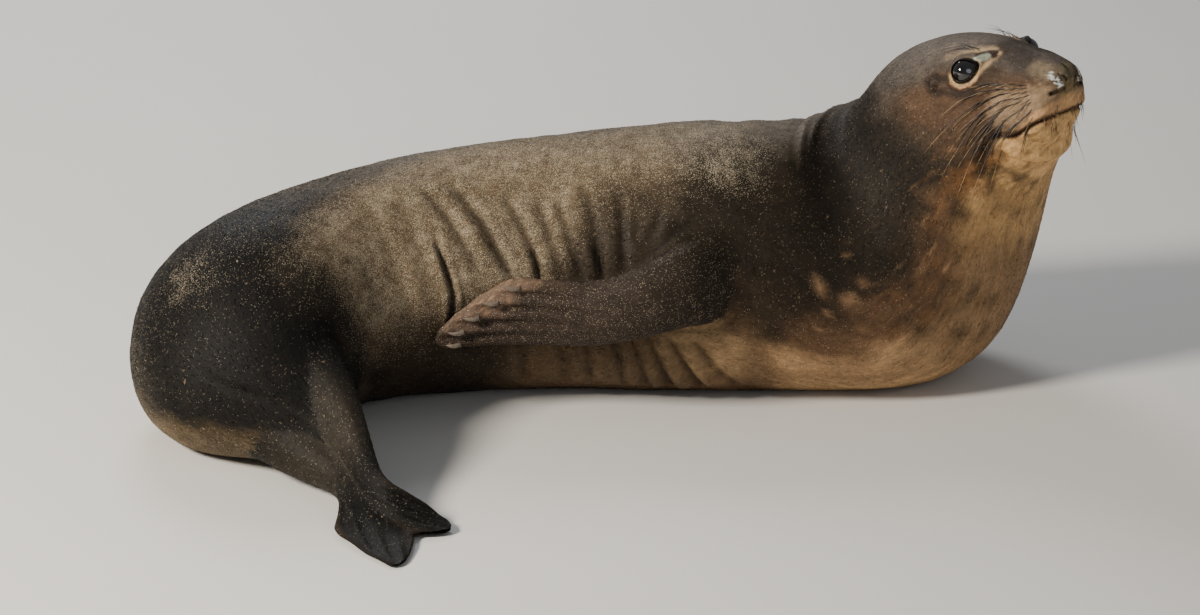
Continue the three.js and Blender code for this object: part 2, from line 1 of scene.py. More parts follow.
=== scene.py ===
import bpy
import numpy as np
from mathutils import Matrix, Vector


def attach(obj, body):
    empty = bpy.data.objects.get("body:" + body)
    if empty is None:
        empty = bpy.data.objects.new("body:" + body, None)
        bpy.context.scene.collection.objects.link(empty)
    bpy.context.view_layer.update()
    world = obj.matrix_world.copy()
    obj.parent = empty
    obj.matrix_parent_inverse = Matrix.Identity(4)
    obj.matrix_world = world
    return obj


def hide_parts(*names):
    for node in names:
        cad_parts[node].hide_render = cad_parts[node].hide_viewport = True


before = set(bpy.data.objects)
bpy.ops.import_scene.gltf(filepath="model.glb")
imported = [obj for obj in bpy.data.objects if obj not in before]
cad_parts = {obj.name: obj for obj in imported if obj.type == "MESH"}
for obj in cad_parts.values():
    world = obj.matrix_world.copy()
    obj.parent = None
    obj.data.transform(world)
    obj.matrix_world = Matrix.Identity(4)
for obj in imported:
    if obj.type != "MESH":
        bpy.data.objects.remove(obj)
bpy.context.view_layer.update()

# Shape of the seal, in the solids' own millimetres
MM = 0.001
FOOTPRINT_MIDDLE = np.array([13.0, -14.0, 0.0])
ROUND_POWER = 2.2
FLOOR_SPREAD, FLOOR_SPREAD_HEIGHT = 0.16, 130.0
EYE_MIDDLE = np.array([838.0, 190.0, 728.0])
HEAD_YAW, HEAD_PITCH, HEAD_ROLL = -47.0, 15.0, -2.0
NOSE_TIP, NOSE_ROUND, NOSE_POWER, TAIL_ROUND = -24.0, 58.0, 2.4, 50.0
# Head stations: forward, rise, tilt, up, down, side
HEAD_STATIONS = {
    "nose": (184, -50, -13, 46, 36, 49),
    "lips": (160, -72, -10, 76, 64, 62),
    "whisker pads": (132, -78, -2, 97, 88, 76),
    "bridge": (92, -70, 12, 111, 110, 91),
    "eyes": (40, -68, 30, 154, 148, 108),
    "nape": (-55, -106, 46, 230, 168, 161),
}
# Body stations: centre, then yaw, pitch, roll, up, down, side
BODY_STATIONS = {
    "neck": ((735, 300, 440), -40, 54, 2, 250, 228, 228),
    "breast": ((638, 340, 335), -25, 33, 12, 272, 326, 284),
    "shoulders": ((500, 340, 270), -11, 15, 22, 282, 306, 308),
    "chest": ((310, 318, 258), -2, 6, 32, 286, 284, 302),
    "back": ((60, 318, 250), 1, 2, 36, 278, 272, 286),
    "waist": ((-200, 305, 242), 8, 1, 36, 260, 260, 268),
    "loin": ((-440, 245, 232), 24, 1, 34, 248, 246, 256),
    "rump": ((-640, 110, 222), 50, 3, 32, 236, 234, 248),
    "hips": ((-736, -84, 194), 82, 10, 32, 222, 216, 246),
    "pelvis": ((-680, -250, 138), 112, 20, 34, 142, 140, 156),
    "tail root": ((-574, -364, 108), 124, 18, 36, 46, 46, 54),
    "tail end": ((-522, -446, 88), 122, 14, 36, 11, 12, 28),
}
# Low forms of the head, on both sides: forward, right, up from between the eyes, spread, rise
HEAD_FORMS = {
    "whisker pad": (152, 56, -84, 36, 9),
    "brow": (14, 94, 56, 30, 7),
    "eye bulge": (2, 112, 14, 38, 10),
    "hollow before the eye": (74, 76, 20, 30, -6),
    "cheek": (20, 120, -110, 60, 7),
}


def unit(v):
    """Each vector over its length."""
    return v / np.maximum(np.linalg.norm(v, axis=-1, keepdims=True), 1e-9)


def bell(x, width):
    """e to the power of minus (x / width) squared."""
    return np.exp(-((x / width) ** 2))


def signed_power(x, k):
    """The size of x to the power k, with the sign of x."""
    return np.sign(x) * np.abs(x) ** k


def smooth(low, high, x):
    """Smooth step from 0 at low to 1 at high, or down from 1 where low is above high."""
    t = np.clip((x - low) / (high - low), 0, 1)
    return t * t * (3 - 2 * t)


def band(x, low, high, soft):
    """One from low to high and nothing outside, each edge soft by that much both ways. None: an open end."""
    rise = 1.0 if low is None else smooth(low - soft, low + soft, x)
    return rise if high is None else rise * smooth(high + soft, high - soft, x)


def spline_through(knots, rows):
    """Natural cubic spline: each stretch is its chord plus a cubic of the second derivatives at its ends."""
    knots, rows = np.asarray(knots, float), np.asarray(rows, float)
    step, last = np.diff(knots), len(knots) - 1
    system, bend = np.eye(last + 1), np.zeros_like(rows)
    inner = np.arange(1, last)
    system[inner, inner - 1], system[inner, inner + 1] = step[:-1], step[1:]
    system[inner, inner] = 2 * (step[:-1] + step[1:])
    bend[1:-1] = 6 * np.diff(np.diff(rows, axis=0) / step[:, None], axis=0)
    second = np.linalg.solve(system, bend)

    def at(t):
        t = np.asarray(t, float)
        i = np.clip(np.searchsorted(knots, t, side="right") - 1, 0, last - 1)
        h = step[i][..., None]
        a = (knots[i + 1] - t)[..., None] / h
        b = 1 - a
        curve = ((a**3 - a) * second[i] + (b**3 - b) * second[i + 1]) * h * h / 6
        return a * rows[i] + b * rows[i + 1] + curve

    return at


def axes_for(yaw, pitch, roll):
    """Axes of a ring that faces along yaw and pitch in degrees, its right side turned up by roll."""
    y, p, r = np.radians(yaw), np.radians(pitch), np.radians(roll)
    forward = np.stack([np.cos(p) * np.cos(y), np.cos(p) * np.sin(y), np.sin(p)], -1)
    level = unit(np.cross(forward, [0.0, 0.0, 1.0]))
    upright = np.cross(level, forward)
    right = level * np.cos(r)[..., None] + upright * np.sin(r)[..., None]
    return forward, right, np.cross(right, forward)


HEAD_AXES = axes_for(np.array(HEAD_YAW), np.array(HEAD_PITCH), np.array(HEAD_ROLL))


def head_point(forward, right, up):
    """The place between the eyes plus amounts along the head's axes."""
    f, r, u = HEAD_AXES
    return EYE_MIDDLE + np.multiply.outer(forward, f) + np.multiply.outer(right, r) + np.multiply.outer(up, u)


def in_head(p):
    """Forward, right and up of points, from between the eyes."""
    return np.stack([(p - EYE_MIDDLE) @ axis for axis in HEAD_AXES], -1)


def on_right(p):
    """The same with the left side folded onto the right, and the side that each point came from."""
    local = in_head(p)
    side = np.sign(local[..., 1])
    local[..., 1] = np.abs(local[..., 1])
    return local, side


def chain_lengths(points):
    """Straight distances summed from the first point to each."""
    return np.concatenate([[0.0], np.cumsum(np.linalg.norm(np.diff(points, axis=0), axis=1))])


station_rows = []
for forward, rise, tilt, up, down, side in HEAD_STATIONS.values():
    at = head_point(forward, 0, rise)
    station_rows.append([*at, up, down, side, HEAD_YAW, HEAD_PITCH + tilt, HEAD_ROLL])
for at, yaw, pitch, roll, up, down, side in BODY_STATIONS.values():
    station_rows.append([*at, up, down, side, yaw, pitch, roll])
station_rows = np.array(station_rows, float)
STATION_KNOTS = chain_lengths(station_rows[:, :3])
STATION_AT = dict(zip([*HEAD_STATIONS, *BODY_STATIONS], STATION_KNOTS))
STEM_LENGTH = STATION_KNOTS[-1]
stem_row = spline_through(STATION_KNOTS, station_rows)


def end_rounding(s):
    """One over most of the stem, falling to 0 at the nose as a superellipse and at the tail as a circle."""
    nose = np.clip((s - NOSE_TIP) / NOSE_ROUND, 0, 1)
    tail = np.clip((STEM_LENGTH - s) / TAIL_ROUND, 0, 1)
    return (1 - (1 - nose) ** NOSE_POWER) ** (1 / NOSE_POWER) * np.sqrt(1 - (1 - tail) ** 2)


def stem_point(s, angle):
    """Ring centre, plus side sin and up or down cos of the angle from the back, swollen by the head's low
    forms and spread near the floor."""
    s, angle = np.broadcast_arrays(np.asarray(s, float), np.asarray(angle, float))
    row = stem_row(s)
    centre = row[..., :3]
    _, right, up_axis = axes_for(row[..., 6], row[..., 7], row[..., 8])
    round_off = end_rounding(s)
    c = signed_power(np.cos(angle), 2 / ROUND_POWER)
    across = row[..., 5] * round_off * signed_power(np.sin(angle), 2 / ROUND_POWER)
    rise = np.where(c > 0, row[..., 3], row[..., 4]) * round_off * c
    p = centre + right * across[..., None] + up_axis * rise[..., None]
    local, _ = on_right(p)
    swell = np.zeros(s.shape)
    for *middle, spread, height in HEAD_FORMS.values():
        swell = swell + height * np.exp(-np.sum((local - np.array(middle)) ** 2, -1) / spread**2)
    swell = np.where(s < STATION_AT["neck"], swell, 0)
    p = p + unit(p - centre) * swell[..., None]
    spread = FLOOR_SPREAD * bell(np.maximum(p[..., 2], 0), FLOOR_SPREAD_HEIGHT)
    p[..., :2] += (p - centre)[..., :2] * spread[..., None]
    return p


# Flippers: ridges over the digits, hollow web between, and a thin tip
DIGIT_SPREAD, DIGIT_RISE, WEB_HOLLOW, DIGIT_START = 0.12, 0.62, 0.34, 0.25
# The same under the hide of the foreflippers, up to a share of the limb short of the claws
SOFT_RISE, SOFT_HOLLOW, SOFT_UNTIL, SOFT_FADE = 0.2, 0.14, 0.86, 0.12
TIP_SHARE, TIP_THICKNESS, EDGE_POWER = 0.07, 0.35, 0.75
ANKLE = 0.56


def fore_reach(q):
    """How far the hand reaches at a place across it, from -1 to 1: less at the trailing edge."""
    return 1 - 0.26 * ((1 - q) / 2) ** 1.4 - 0.06 * np.maximum(q, 0) ** 4


def hind_left_reach(q):
    """The same, falling off by a power on both sides of 0.1."""
    return 1 - 0.26 * np.maximum(0.1 - q, 0) ** 1.4 - 0.24 * np.maximum(q - 0.1, 0) ** 2.4


def hind_right_reach(q):
    """The same, falling off by a power on both sides of the middle."""
    return 1 - 0.14 * np.abs(q) ** 2.4


FORE_HAND = dict(digits=(-0.84, -0.44, -0.02, 0.4, 0.82), digits_from=0.5, wrist=0.4, reach=fore_reach,
                 soft=1.0)
HIND_HAND = dict(digits=(-0.86, -0.46, 0.0, 0.46, 0.86), wrist=ANKLE, soft=0.0)
# Each limb: its hand, then stations of centre, half width, half thickness, wide axis
LIMBS = {
    "foreflipper_right": (FORE_HAND, [
        [300, 150, 296, 100, 72, 0, -0.2, -1],
        [200, 30, 300, 92, 62, 0, -0.1, -1],
        [109, -8, 276, 76, 52, 0, 0, -1],
        [0, -12, 248, 70, 43, 0, 0.05, -1],
        [-110, -6, 246, 74, 32, 0, 0.1, -1],
        [-230, -6, 246, 78, 21, 0, 0.15, -1],
        [-375, -20, 232, 74, 13, 0.1, 0.2, -1],
    ]),
    "foreflipper_left": (FORE_HAND, [
        [430, 420, 110, 100, 60, 0.6, 0.8, 0],
        [400, 560, 66, 88, 48, 0.8, 0.6, 0],
        [320, 640, 44, 76, 36, 0.4, 0.9, 0],
        [210, 680, 28, 70, 26, 0.2, 1, 0],
        [90, 700, 17, 74, 17, 0, 1, 0],
        [-40, 705, 12, 78, 12, 0, 1, 0],
        [-190, 700, 8, 74, 8, 0, 1, 0],
    ]),
    "hind_left": (dict(HIND_HAND, digits_from=0.58, reach=hind_left_reach), [
        [-700, -180, 112, 100, 88, 1, 0.4, 0],
        [-658, -276, 98, 86, 78, 1, 0.5, 0.1],
        [-584, -380, 74, 60, 56, 1, 0.5, 0.2],
        [-514, -478, 50, 36, 36, 1, 0.4, 0.2],
        [-492, -542, 34, 38, 26, 1, 0.3, 0.2],
        [-470, -602, 20, 68, 17, 1, 0.3, 0.1],
        [-452, -665, 12, 78, 11, 1, 0.3, 0],
        [-434, -740, 8, 74, 8, 1, 0.3, 0],
        [-416, -815, 6, 66, 6, 1, 0.3, 0],
    ]),
    "hind_right": (dict(HIND_HAND, digits_from=0.66, reach=hind_right_reach), [
        [-616, -190, 206, 90, 74, 0, 0.4, 1],
        [-560, -318, 158, 74, 54, 0.2, 0.4, 1],
        [-508, -425, 112, 50, 36, 0.2, 0.3, 1],
        [-482, -485, 88, 38, 28, 0.2, 0.2, 1],
        [-458, -545, 66, 36, 22, 0.2, 0.2, 1],
        [-424, -590, 48, 40, 17, 0.2, 0.6, 0.8],
        [-380, -610, 30, 48, 12, 0.2, 1, 0.5],
        [-336, -620, 17, 52, 9, 0.15, 1, 0.2],
        [-296, -628, 10, 48, 7, 0.15, 1, 0.05],
    ]),
}


def bells_at(x, places, width):
    """The sum of a bell round each place."""
    return sum(bell(x - place, width) for place in places)


def limb_surface(hand, stations):
    """Point at a share of the way to the tip and an angle from the trailing edge: the path, plus half width
    times minus the cosine, plus half thickness times the sine to a power, swollen over each digit."""
    rows = np.array(stations, float)
    knots = chain_lengths(rows[:, :3])
    total, path = knots[-1], spline_through(knots, rows)

    def at(t, angle):
        q = -np.cos(angle)
        past = np.maximum(t - hand["wrist"], 0) / (1 - hand["wrist"])
        s = total * (np.minimum(t, hand["wrist"]) + past * (hand["reach"](q) - hand["wrist"]))
        row = path(s)
        ahead = np.minimum(s + 2, total)
        along = unit(path(ahead)[..., :3] - path(ahead - 4)[..., :3])
        wide = row[..., 5:8]
        wide = unit(wide - along * np.sum(wide * along, -1, keepdims=True))
        out = unit(np.cross(wide, along))
        spread = smooth(hand["digits_from"], hand["digits_from"] + DIGIT_START, t)
        tip = np.maximum(1 - (1 - t) / TIP_SHARE, 0)
        thinning = TIP_THICKNESS + (1 - TIP_THICKNESS) * np.sqrt(np.maximum(1 - tip**2, 0))
        soften = hand["soft"] * np.clip((SOFT_UNTIL - t) / SOFT_FADE, 0, 1)
        rise = DIGIT_RISE + (SOFT_RISE - DIGIT_RISE) * soften
        hollow = WEB_HOLLOW + (SOFT_HOLLOW - WEB_HOLLOW) * soften
        swell = 1 - spread * (hollow - rise * bells_at(q, hand["digits"], DIGIT_SPREAD))
        thick = row[..., 4] * swell * signed_power(np.sin(angle), EDGE_POWER) * thinning
        return row[..., :3] + wide * (row[..., 3] * q)[..., None] + out * thick[..., None]

    return at


# Eyes, seated in the head: forward, right and up from between the eyes
EYE_RADIUS = 31.0
EYE_PLACE = np.array([-12.0, 90.0, 6.0])
EYE_LOOK = np.array([0.42, 0.83, 0.36])
EYE_SLIT = np.array([0.78, -0.5, 0.35])
EYE_BEHIND = -25.0  # places further back than this along the look belong to the other eye
LID_LENGTH, LID_HEIGHT = 24.5, 22.0  # half sizes of the opening between the lids
LID_REACH = 1.95  # outer edge of the lids, in opening sizes
LID_CORNER, LID_CORNER_WIDTH = 0.16, 0.34  # how far the front corner is drawn out, and over what angle


def eye_frame(side):
    """Origin and the slit, across and look axes of an eye, side 1 for the right eye and -1 for the left."""
    flip, turn = np.array([1.0, side, 1.0]), np.stack(HEAD_AXES)
    look, slit = unit((EYE_LOOK * flip) @ turn), (EYE_SLIT * flip) @ turn
    slit = unit(slit - look * (slit @ look))
    return head_point(*(EYE_PLACE * flip)), slit, np.cross(look, slit) * side, look


def corner_stretch(u, v):
    """How far the opening is drawn out: one, and more round its front corner."""
    return 1 + LID_CORNER * bell(np.arctan2(v, u), LID_CORNER_WIDTH)


def in_eye(p, side):
    """Coordinates along the slit, across it and out along the look, and the distance in opening sizes."""
    origin, *axes = eye_frame(side)
    u, v, w = [(p - origin) @ axis for axis in axes]
    return u, v, w, np.hypot(u / LID_LENGTH, v / LID_HEIGHT) / corner_stretch(u, v)


def eye_distance(p):
    """Distance from the nearer eye in opening sizes, on that eye's own side of the head."""
    best = np.full(p.shape[:-1], 99.0)
    for side in (1, -1):
        _, _, w, rho = in_eye(p, side)
        best = np.where(w > EYE_BEHIND, np.minimum(best, rho), best)
    return best


def ball_height(u, v, radius):
    """Height of a ball over its own middle plane."""
    return np.sqrt(np.maximum(radius**2 - u**2 - v**2, 0))


def line_distance(points, line):
    """Distance from points to a broken line, and the share of the line passed at the nearest place."""
    line = np.asarray(line, float)
    start = chain_lengths(line)
    best, share = np.full(points.shape[:-1], 1e9), np.zeros(points.shape[:-1])
    for i, length in enumerate(np.linalg.norm(np.diff(line, axis=0), axis=1)):
        step = (line[i + 1] - line[i]) / length
        along = np.clip((points - line[i]) @ step, 0, length)
        gap = np.linalg.norm(points - line[i] - along[..., None] * step, axis=-1)
        near = gap < best
        best, share = np.where(near, gap, best), np.where(near, (start[i] + along) / start[-1], share)
    return best, share


def on_head(points):
    """The places of the bare head's right side nearest to points given in the head's axes."""
    s, angle = np.linspace(-23, 330, 236)[:, None], np.radians(np.linspace(0, 180, 181))[None, :]
    places = in_head(stem_point(s, angle)).reshape(-1, 3)
    gaps = np.linalg.norm(places[None] - np.atleast_2d(points)[:, None], axis=-1)
    return places[gaps.argmin(axis=1)]


# Lines of the face, forward and up from between the eyes, seen from the side
MOUTH_LINE = [(240, -116), (200, -104), (166, -105), (130, -118), (92, -136), (72, -136)]
MOUTH_CORNER = 76.0
THROAT_CREASE = [(60, -156), (70, -182), (92, -210), (120, -232), (144, -262)]
# Nostril slits: place, direction, half sizes and depth, and their rims: half length, distance, width, height
NOSTRIL_AT, NOSTRIL_ALONG = on_head([188, 34, -57])[0], unit(np.array([-0.42, 0.86, -0.1]))
NOSTRIL_HALF, NOSTRIL_DEPTH, NOSTRIL_RIM = (16.0, 3.4), 10.0, (26, 9, 6, 2.4)
# Grooves: width, depth, and the lip beside them: distance, width, height
MOUTH_GROOVE, UPPER_LIP, LOWER_LIP = (3.0, 7, 10, 8), 3.4, 2.2
THROAT_GROOVE, EAR_PIT = (6, 7, 15, 12, 3.5), (5.5, 9, 12, 5, 2.4)
# Grooves of the nose, forward, right and up, with their widths, and the line of the painted highlight on the
# wet skin above the nostril
NOSE_GROOVES = [
    ([(188, 0, -6), (204, 0, -34), (198, 0, -66), (186, 0, -90)], 2.2),
    ([(196, 16, -26), (203, 12, -44), (198, 14, -60)], 1.8),
    ([(190, 24, -22), (202, 8, -34)], 1.5),
]
NOSE_GROOVES = [(on_head(line), width) for line, width in NOSE_GROOVES]
WET_HIGHLIGHT_LINE = on_head([(182, 40, -18), (190, 36, -30), (194, 28, -44)])
EAR_AT = on_head([-74, 126, -17])[0]
# Creases on the face: side points in the head's axes, width, depth
FACE_CREASES = [
    ([(-54, 125, -20), (-36, 123, -30), (-2, 112, -36), (39, 99, -28)], 4.5, 3.0),
    ([(-52, 122, 4), (-78, 119, 10), (-98, 119, -4), (-90, 124, -26), (-64, 127, -32)], 4.5, 3.4),
    ([(20, 80, 26), (36, 66, 33), (54, 50, 37)], 3.5, 2.0),
    ([(60, 42, 46), (90, 30, 40), (126, 14, 26)], 9, 1.6),
    ([(72, 96, -124), (56, 112, -136), (40, 126, -152), (30, 134, -176)], 6, 3.6),
    ([(40, 100, -54), (20, 108, -62), (-10, 118, -66)], 7, 1.8),
    ([(160, 46, -12), (150, 56, -30), (150, 62, -48)], 6, 1.8),
]
FACE_CREASES = [(on_head(line), width, depth) for line, width, depth in FACE_CREASES]

# Folds of the body: distance from the nose and degrees round from the back, then width and depth
FOLD_RADIUS, FOLD_DEPTH = 250.0, 1.35
BODY_FOLDS = [
    ([(1700, 88), (1688, 97), (1672, 114), (1690, 136)], 9, 9),
    ([(1690, 62), (1640, 84), (1585, 106)], 13, 5),
    ([(1620, 62), (1565, 86), (1504, 110)], 13, 5.5),
    ([(1568, 80), (1530, 96), (1476, 120)], 10, 4.5),
    ([(1500, 74), (1450, 94), (1416, 112)], 11, 5.5),
    ([(1440, 98), (1424, 114), (1418, 130)], 8, 6),
    ([(1420, 78), (1390, 96), (1363, 114)], 10, 4.5),
    ([(1370, 80), (1345, 98), (1316, 114)], 9, 4.5),
    ([(1310, 72), (1286, 94), (1268, 114)], 11, 5),
    ([(1290, 98), (1272, 114), (1268, 130)], 8, 6),
    ([(1226, 78), (1225, 96), (1222, 112)], 8, 5.5),
    ([(1134, 86), (1156, 96), (1180, 107)], 8, 5),
    ([(1065, 90), (1100, 94), (1140, 101), (1162, 107)], 9, 8),
    ([(1262, 140), (1246, 158), (1236, 180)], 10, 6),
    ([(1222, 138), (1200, 158), (1182, 182)], 10, 7),
    ([(1186, 138), (1158, 160), (1130, 186)], 11, 8),
    ([(1140, 141), (1106, 160), (1066, 184)], 11, 8),
    ([(1090, 142), (1050, 158), (1000, 178)], 12, 6),
    ([(1500, 134), (1480, 156), (1470, 176)], 14, 4),
    ([(1400, 136), (1380, 156), (1372, 178)], 14, 4),
    ([(1330, 134), (1316, 156), (1310, 178)], 12, 5),
    ([(1140, 140), (1070, 139), (990, 137)], 8, 5),
    ([(1780, 60), (1760, 90), (1752, 120)], 24, 3),
    ([(1860, 60), (1850, 96), (1830, 130)], 28, 3),
    ([(1906, 122), (1894, 134), (1896, 146)], 9, 5),
    ([(772, -60), (770, 8), (752, 42), (744, 62)], 15, 3),
    ([(700, -70), (690, 0), (680, 34), (672, 52)], 18, 2),
    ([(610, -60), (600, 0), (588, 32), (580, 50)], 20, 1.6),
    ([(500, -50), (492, 0), (480, 34), (470, 60)], 20, 1.6),
    ([(400, 100), (430, 130), (440, 160), (440, 200)], 14, 2.5),
    ([(500, 110), (520, 140), (530, 180), (525, 220)], 18, 3),
    ([(2360, -24), (2410, -14), (2447, -6), (2490, 4)], 12, 5),
    ([(980, -60), (960, -20), (965, 20)], 26, 3),
    ([(1320, -110), (1330, -70), (1325, -30)], 26, 3),
    ([(1560, -100), (1540, -60), (1550, -20)], 26, 3),
]


def slow_waves(p, seed, scale, octaves=3):
    """Soft unevenness: sums of sines of the place along a few random directions, each octave half as high."""
    rng = np.random.default_rng(seed)
    total = np.zeros(p.shape[:-1])
    for octave in range(octaves):
        for _ in range(5):
            way = unit(rng.normal(size=3)) * (2 * np.pi / scale) * 2**octave * rng.uniform(0.7, 1.4)
            total += np.sin(p @ way + rng.uniform(0, 2 * np.pi)) / 2**octave
    return total / 5


def groove(gap, width, depth, lip_at, lip_width, lip):
    """A bell-shaped groove of the distance from its line, with a low bell beside it as its lip."""
    return lip * bell(gap - lip_at, lip_width) - depth * bell(gap, width)


def end_fade(share):
    """One along most of a line, falling to nothing at both of its ends."""
    return np.sqrt(np.clip(1 - (2 * share - 1) ** 4, 0, 1))


def body_fold_relief(s, angle):
    """Sum over the folds of a groove with a raised lip, by the distance across it on the unrolled body."""
    flat = np.stack([s, angle * FOLD_RADIUS], -1)
    relief = np.zeros(s.shape)
    for line, width, depth in BODY_FOLDS:
        line = [(along, np.radians(degrees) * FOLD_RADIUS) for along, degrees in line]
        reach = 5 * width
        low, high = np.min(line, axis=0) - reach, np.max(line, axis=0) + reach
        near = np.all((flat > low) & (flat < high), axis=-1)
        gap, share = line_distance(flat[near], line)
        crease = groove(gap, width, 1.0, 2.2 * width, 1.3 * width, 0.5)
        relief[near] += FOLD_DEPTH * depth * end_fade(share) * crease
    return relief


def mouth_height(forward):
    """Height of the mouth line at places forward of the eyes."""
    far, high = np.array(MOUTH_LINE).T
    return np.interp(-forward, -far, high)


def face_relief(p, s):
    """Lips, mouth line, nostrils, ear pits, nose groove and creases of the face."""
    local, side = on_right(p)
    forward, right, up = np.moveaxis(local, -1, 0)
    profile = local[..., [0, 2]]
    gap, _ = line_distance(profile, MOUTH_LINE)
    lip = np.where(up > mouth_height(forward), UPPER_LIP, LOWER_LIP)
    relief = groove(gap, *MOUTH_GROOVE, lip) * smooth(MOUTH_CORNER, MOUTH_CORNER + 22, forward)
    gap, share = line_distance(profile, THROAT_CREASE)
    relief += smooth(0.0, 0.15, share) * smooth(-100, -130, up) * groove(gap, *THROAT_GROOVE)
    away = local - NOSTRIL_AT
    length = away @ NOSTRIL_ALONG
    across = np.linalg.norm(away - length[..., None] * NOSTRIL_ALONG, axis=-1)
    slit = np.exp(-((length / NOSTRIL_HALF[0]) ** 4))
    relief -= NOSTRIL_DEPTH * slit * bell(across, NOSTRIL_HALF[1])
    rim_half, rim_at, rim_width, rim_height = NOSTRIL_RIM
    relief += rim_height * np.exp(-((length / rim_half) ** 4)) * bell(across - rim_at, rim_width)
    nose = smooth(150, 178, forward) * smooth(-96, -82, up)
    relief += nose * (2.0 * bell(right - 13, 9) + 0.9 * slow_waves(p, 6, 11))
    relief += smooth(260, 120, s) * 0.35 * slow_waves(p, 7, 13)
    for line, width in NOSE_GROOVES:
        relief -= 3.0 * bell(line_distance(local, line)[0], 1.5 * width)
    relief += groove(np.linalg.norm(local - EAR_AT, axis=-1), *EAR_PIT)
    for line, width, depth in FACE_CREASES:
        gap, share = line_distance(local, line)
        relief += depth * end_fade(share) * groove(gap, width, 1.0, 2.1 * width, width, 0.45)
    near_eye = np.where(side > 0, in_eye(p, 1)[3], in_eye(p, -1)[3])
    return relief * smooth(LID_REACH + 0.1, LID_REACH + 0.9, near_eye) * (s < STATION_AT["neck"])


# The skin's grid: rings closer at the nose, eyes and flank, steps closer at the eyes
COAT_DEPTH = 1.2
FLOOR_CLEAR = 0.4  # nothing is lower than this
NOSE_RINGS = 34
RING_STEPS = ((96, 2.1), (212, 1.8), (330, 4.6), (1050, 20.0), (1760, 8.5), (STEM_LENGTH - 1, 20.5))
SKIN_STEPS = 232
EYE_ANGLE, EYE_ANGLE_SPREAD, EYE_ANGLE_BOOST = 63.6, 12.0, 1.7
SOCKET_DEPTH = 7.0  # the head lies this far under the eyeball's surface beneath the lids


def ring_distances():
    """Ring places: the nose's superellipse by the sine, then even steps in each stretch."""
    shares = np.sin(np.linspace(0.03, 0.5 * np.pi, NOSE_RINGS))
    stretches = [NOSE_TIP + NOSE_ROUND * (1 - (1 - shares**NOSE_POWER) ** (1 / NOSE_POWER))]
    for high, step in RING_STEPS:
        low = stretches[-1][-1]
        stretches.append(np.linspace(low, high, int((high - low) / step) + 1)[1:])
    return np.concatenate(stretches)


def ring_angles():
    """Angles whose density is one plus a bell at each eye."""
    fine = np.linspace(-180, 180, 2001)
    density = 1 + EYE_ANGLE_BOOST * bells_at(fine, (-EYE_ANGLE, EYE_ANGLE), EYE_ANGLE_SPREAD)
    passed = np.concatenate([[0], np.cumsum((density[1:] + density[:-1]) / 2)])
    return np.radians(np.interp(np.arange(SKIN_STEPS) / SKIN_STEPS * passed[-1], passed, fine))


def grid_normals(p):
    """Outward normals of a grid of rings, closed round: the cross product of its two differences."""
    n = unit(np.cross(np.roll(p, -1, axis=1) - np.roll(p, 1, axis=1), np.gradient(p, axis=0)))
    return n * np.sign(np.sum(n * (p - p.mean(axis=1, keepdims=True))))


def stem_skin():
    """Distances, angles and points of body and head: the bare stem with its relief, sunk under the lids."""
    s, angle = np.broadcast_arrays(ring_distances()[:, None], ring_angles()[None, :])
    p = stem_point(s, angle)
    body = smooth(300, 700, s)
    relief = body_fold_relief(s, angle) + face_relief(p, s) - COAT_DEPTH
    relief += body * 3.0 * slow_waves(p, 3, 420) + (0.6 + 1.2 * body) * slow_waves(p, 4, 110)
    p = p + grid_normals(p) * relief[..., None]
    for side in (1, -1):
        u, v, w, rho = in_eye(p, side)
        socket = ball_height(u, v, EYE_RADIUS) - SOCKET_DEPTH
        facing = (w > -5) & (rho < LID_REACH)
        sink = np.where(facing, np.maximum(w - socket, 0) * smooth(1.62, 1.25, rho), 0)
        p = p - eye_frame(side)[3] * sink[..., None]
    return s, angle, p


LIMB_RINGS, TIP_RINGS, TIP_FROM, LIMB_STEPS = 58, 16, 0.93, 56
KNUCKLES, KNUCKLE_SPREAD, KNUCKLE_RISE = (0.66, 0.78, 0.88), 0.016, 1.3  # the first two in shares of the limb
LIMB_COAT_DEPTH = 0.4


def limb_skin(hand, stations):
    """The limb's surface, with knuckles on its digits, fine wrinkles over its wrist and soft unevenness."""
    tip = TIP_FROM + (1 - TIP_FROM) * np.sin(np.linspace(0, np.pi / 2, TIP_RINGS + 1)[1:])
    t = np.concatenate([np.linspace(0, TIP_FROM, LIMB_RINGS), tip])
    angle = np.linspace(0, 2 * np.pi, LIMB_STEPS, endpoint=False)
    t, angle = np.broadcast_arrays(t[:, None], angle[None, :])
    p = limb_surface(hand, stations)(t, angle)
    digit = bells_at(-np.cos(angle), hand["digits"], 0.11)
    knuckle = KNUCKLE_RISE * digit * bells_at(t, KNUCKLES, KNUCKLE_SPREAD)
    spread = smooth(hand["digits_from"], hand["digits_from"] + 0.2, t) * smooth(1.0, 0.95, t)
    relief = (1 - 0.6 * hand["soft"]) * spread * (knuckle - 0.5 * (1 - digit))
    wrinkle = smooth(0.2, 0.35, t) * smooth(0.62, 0.5, t) * np.sin(150 * t + 2.2 * np.sin(3 * angle))
    relief = relief + 0.7 * wrinkle + 0.5 * slow_waves(p, 8, 70) - LIMB_COAT_DEPTH
    return t, angle, p + grid_normals(p) * relief[..., None]


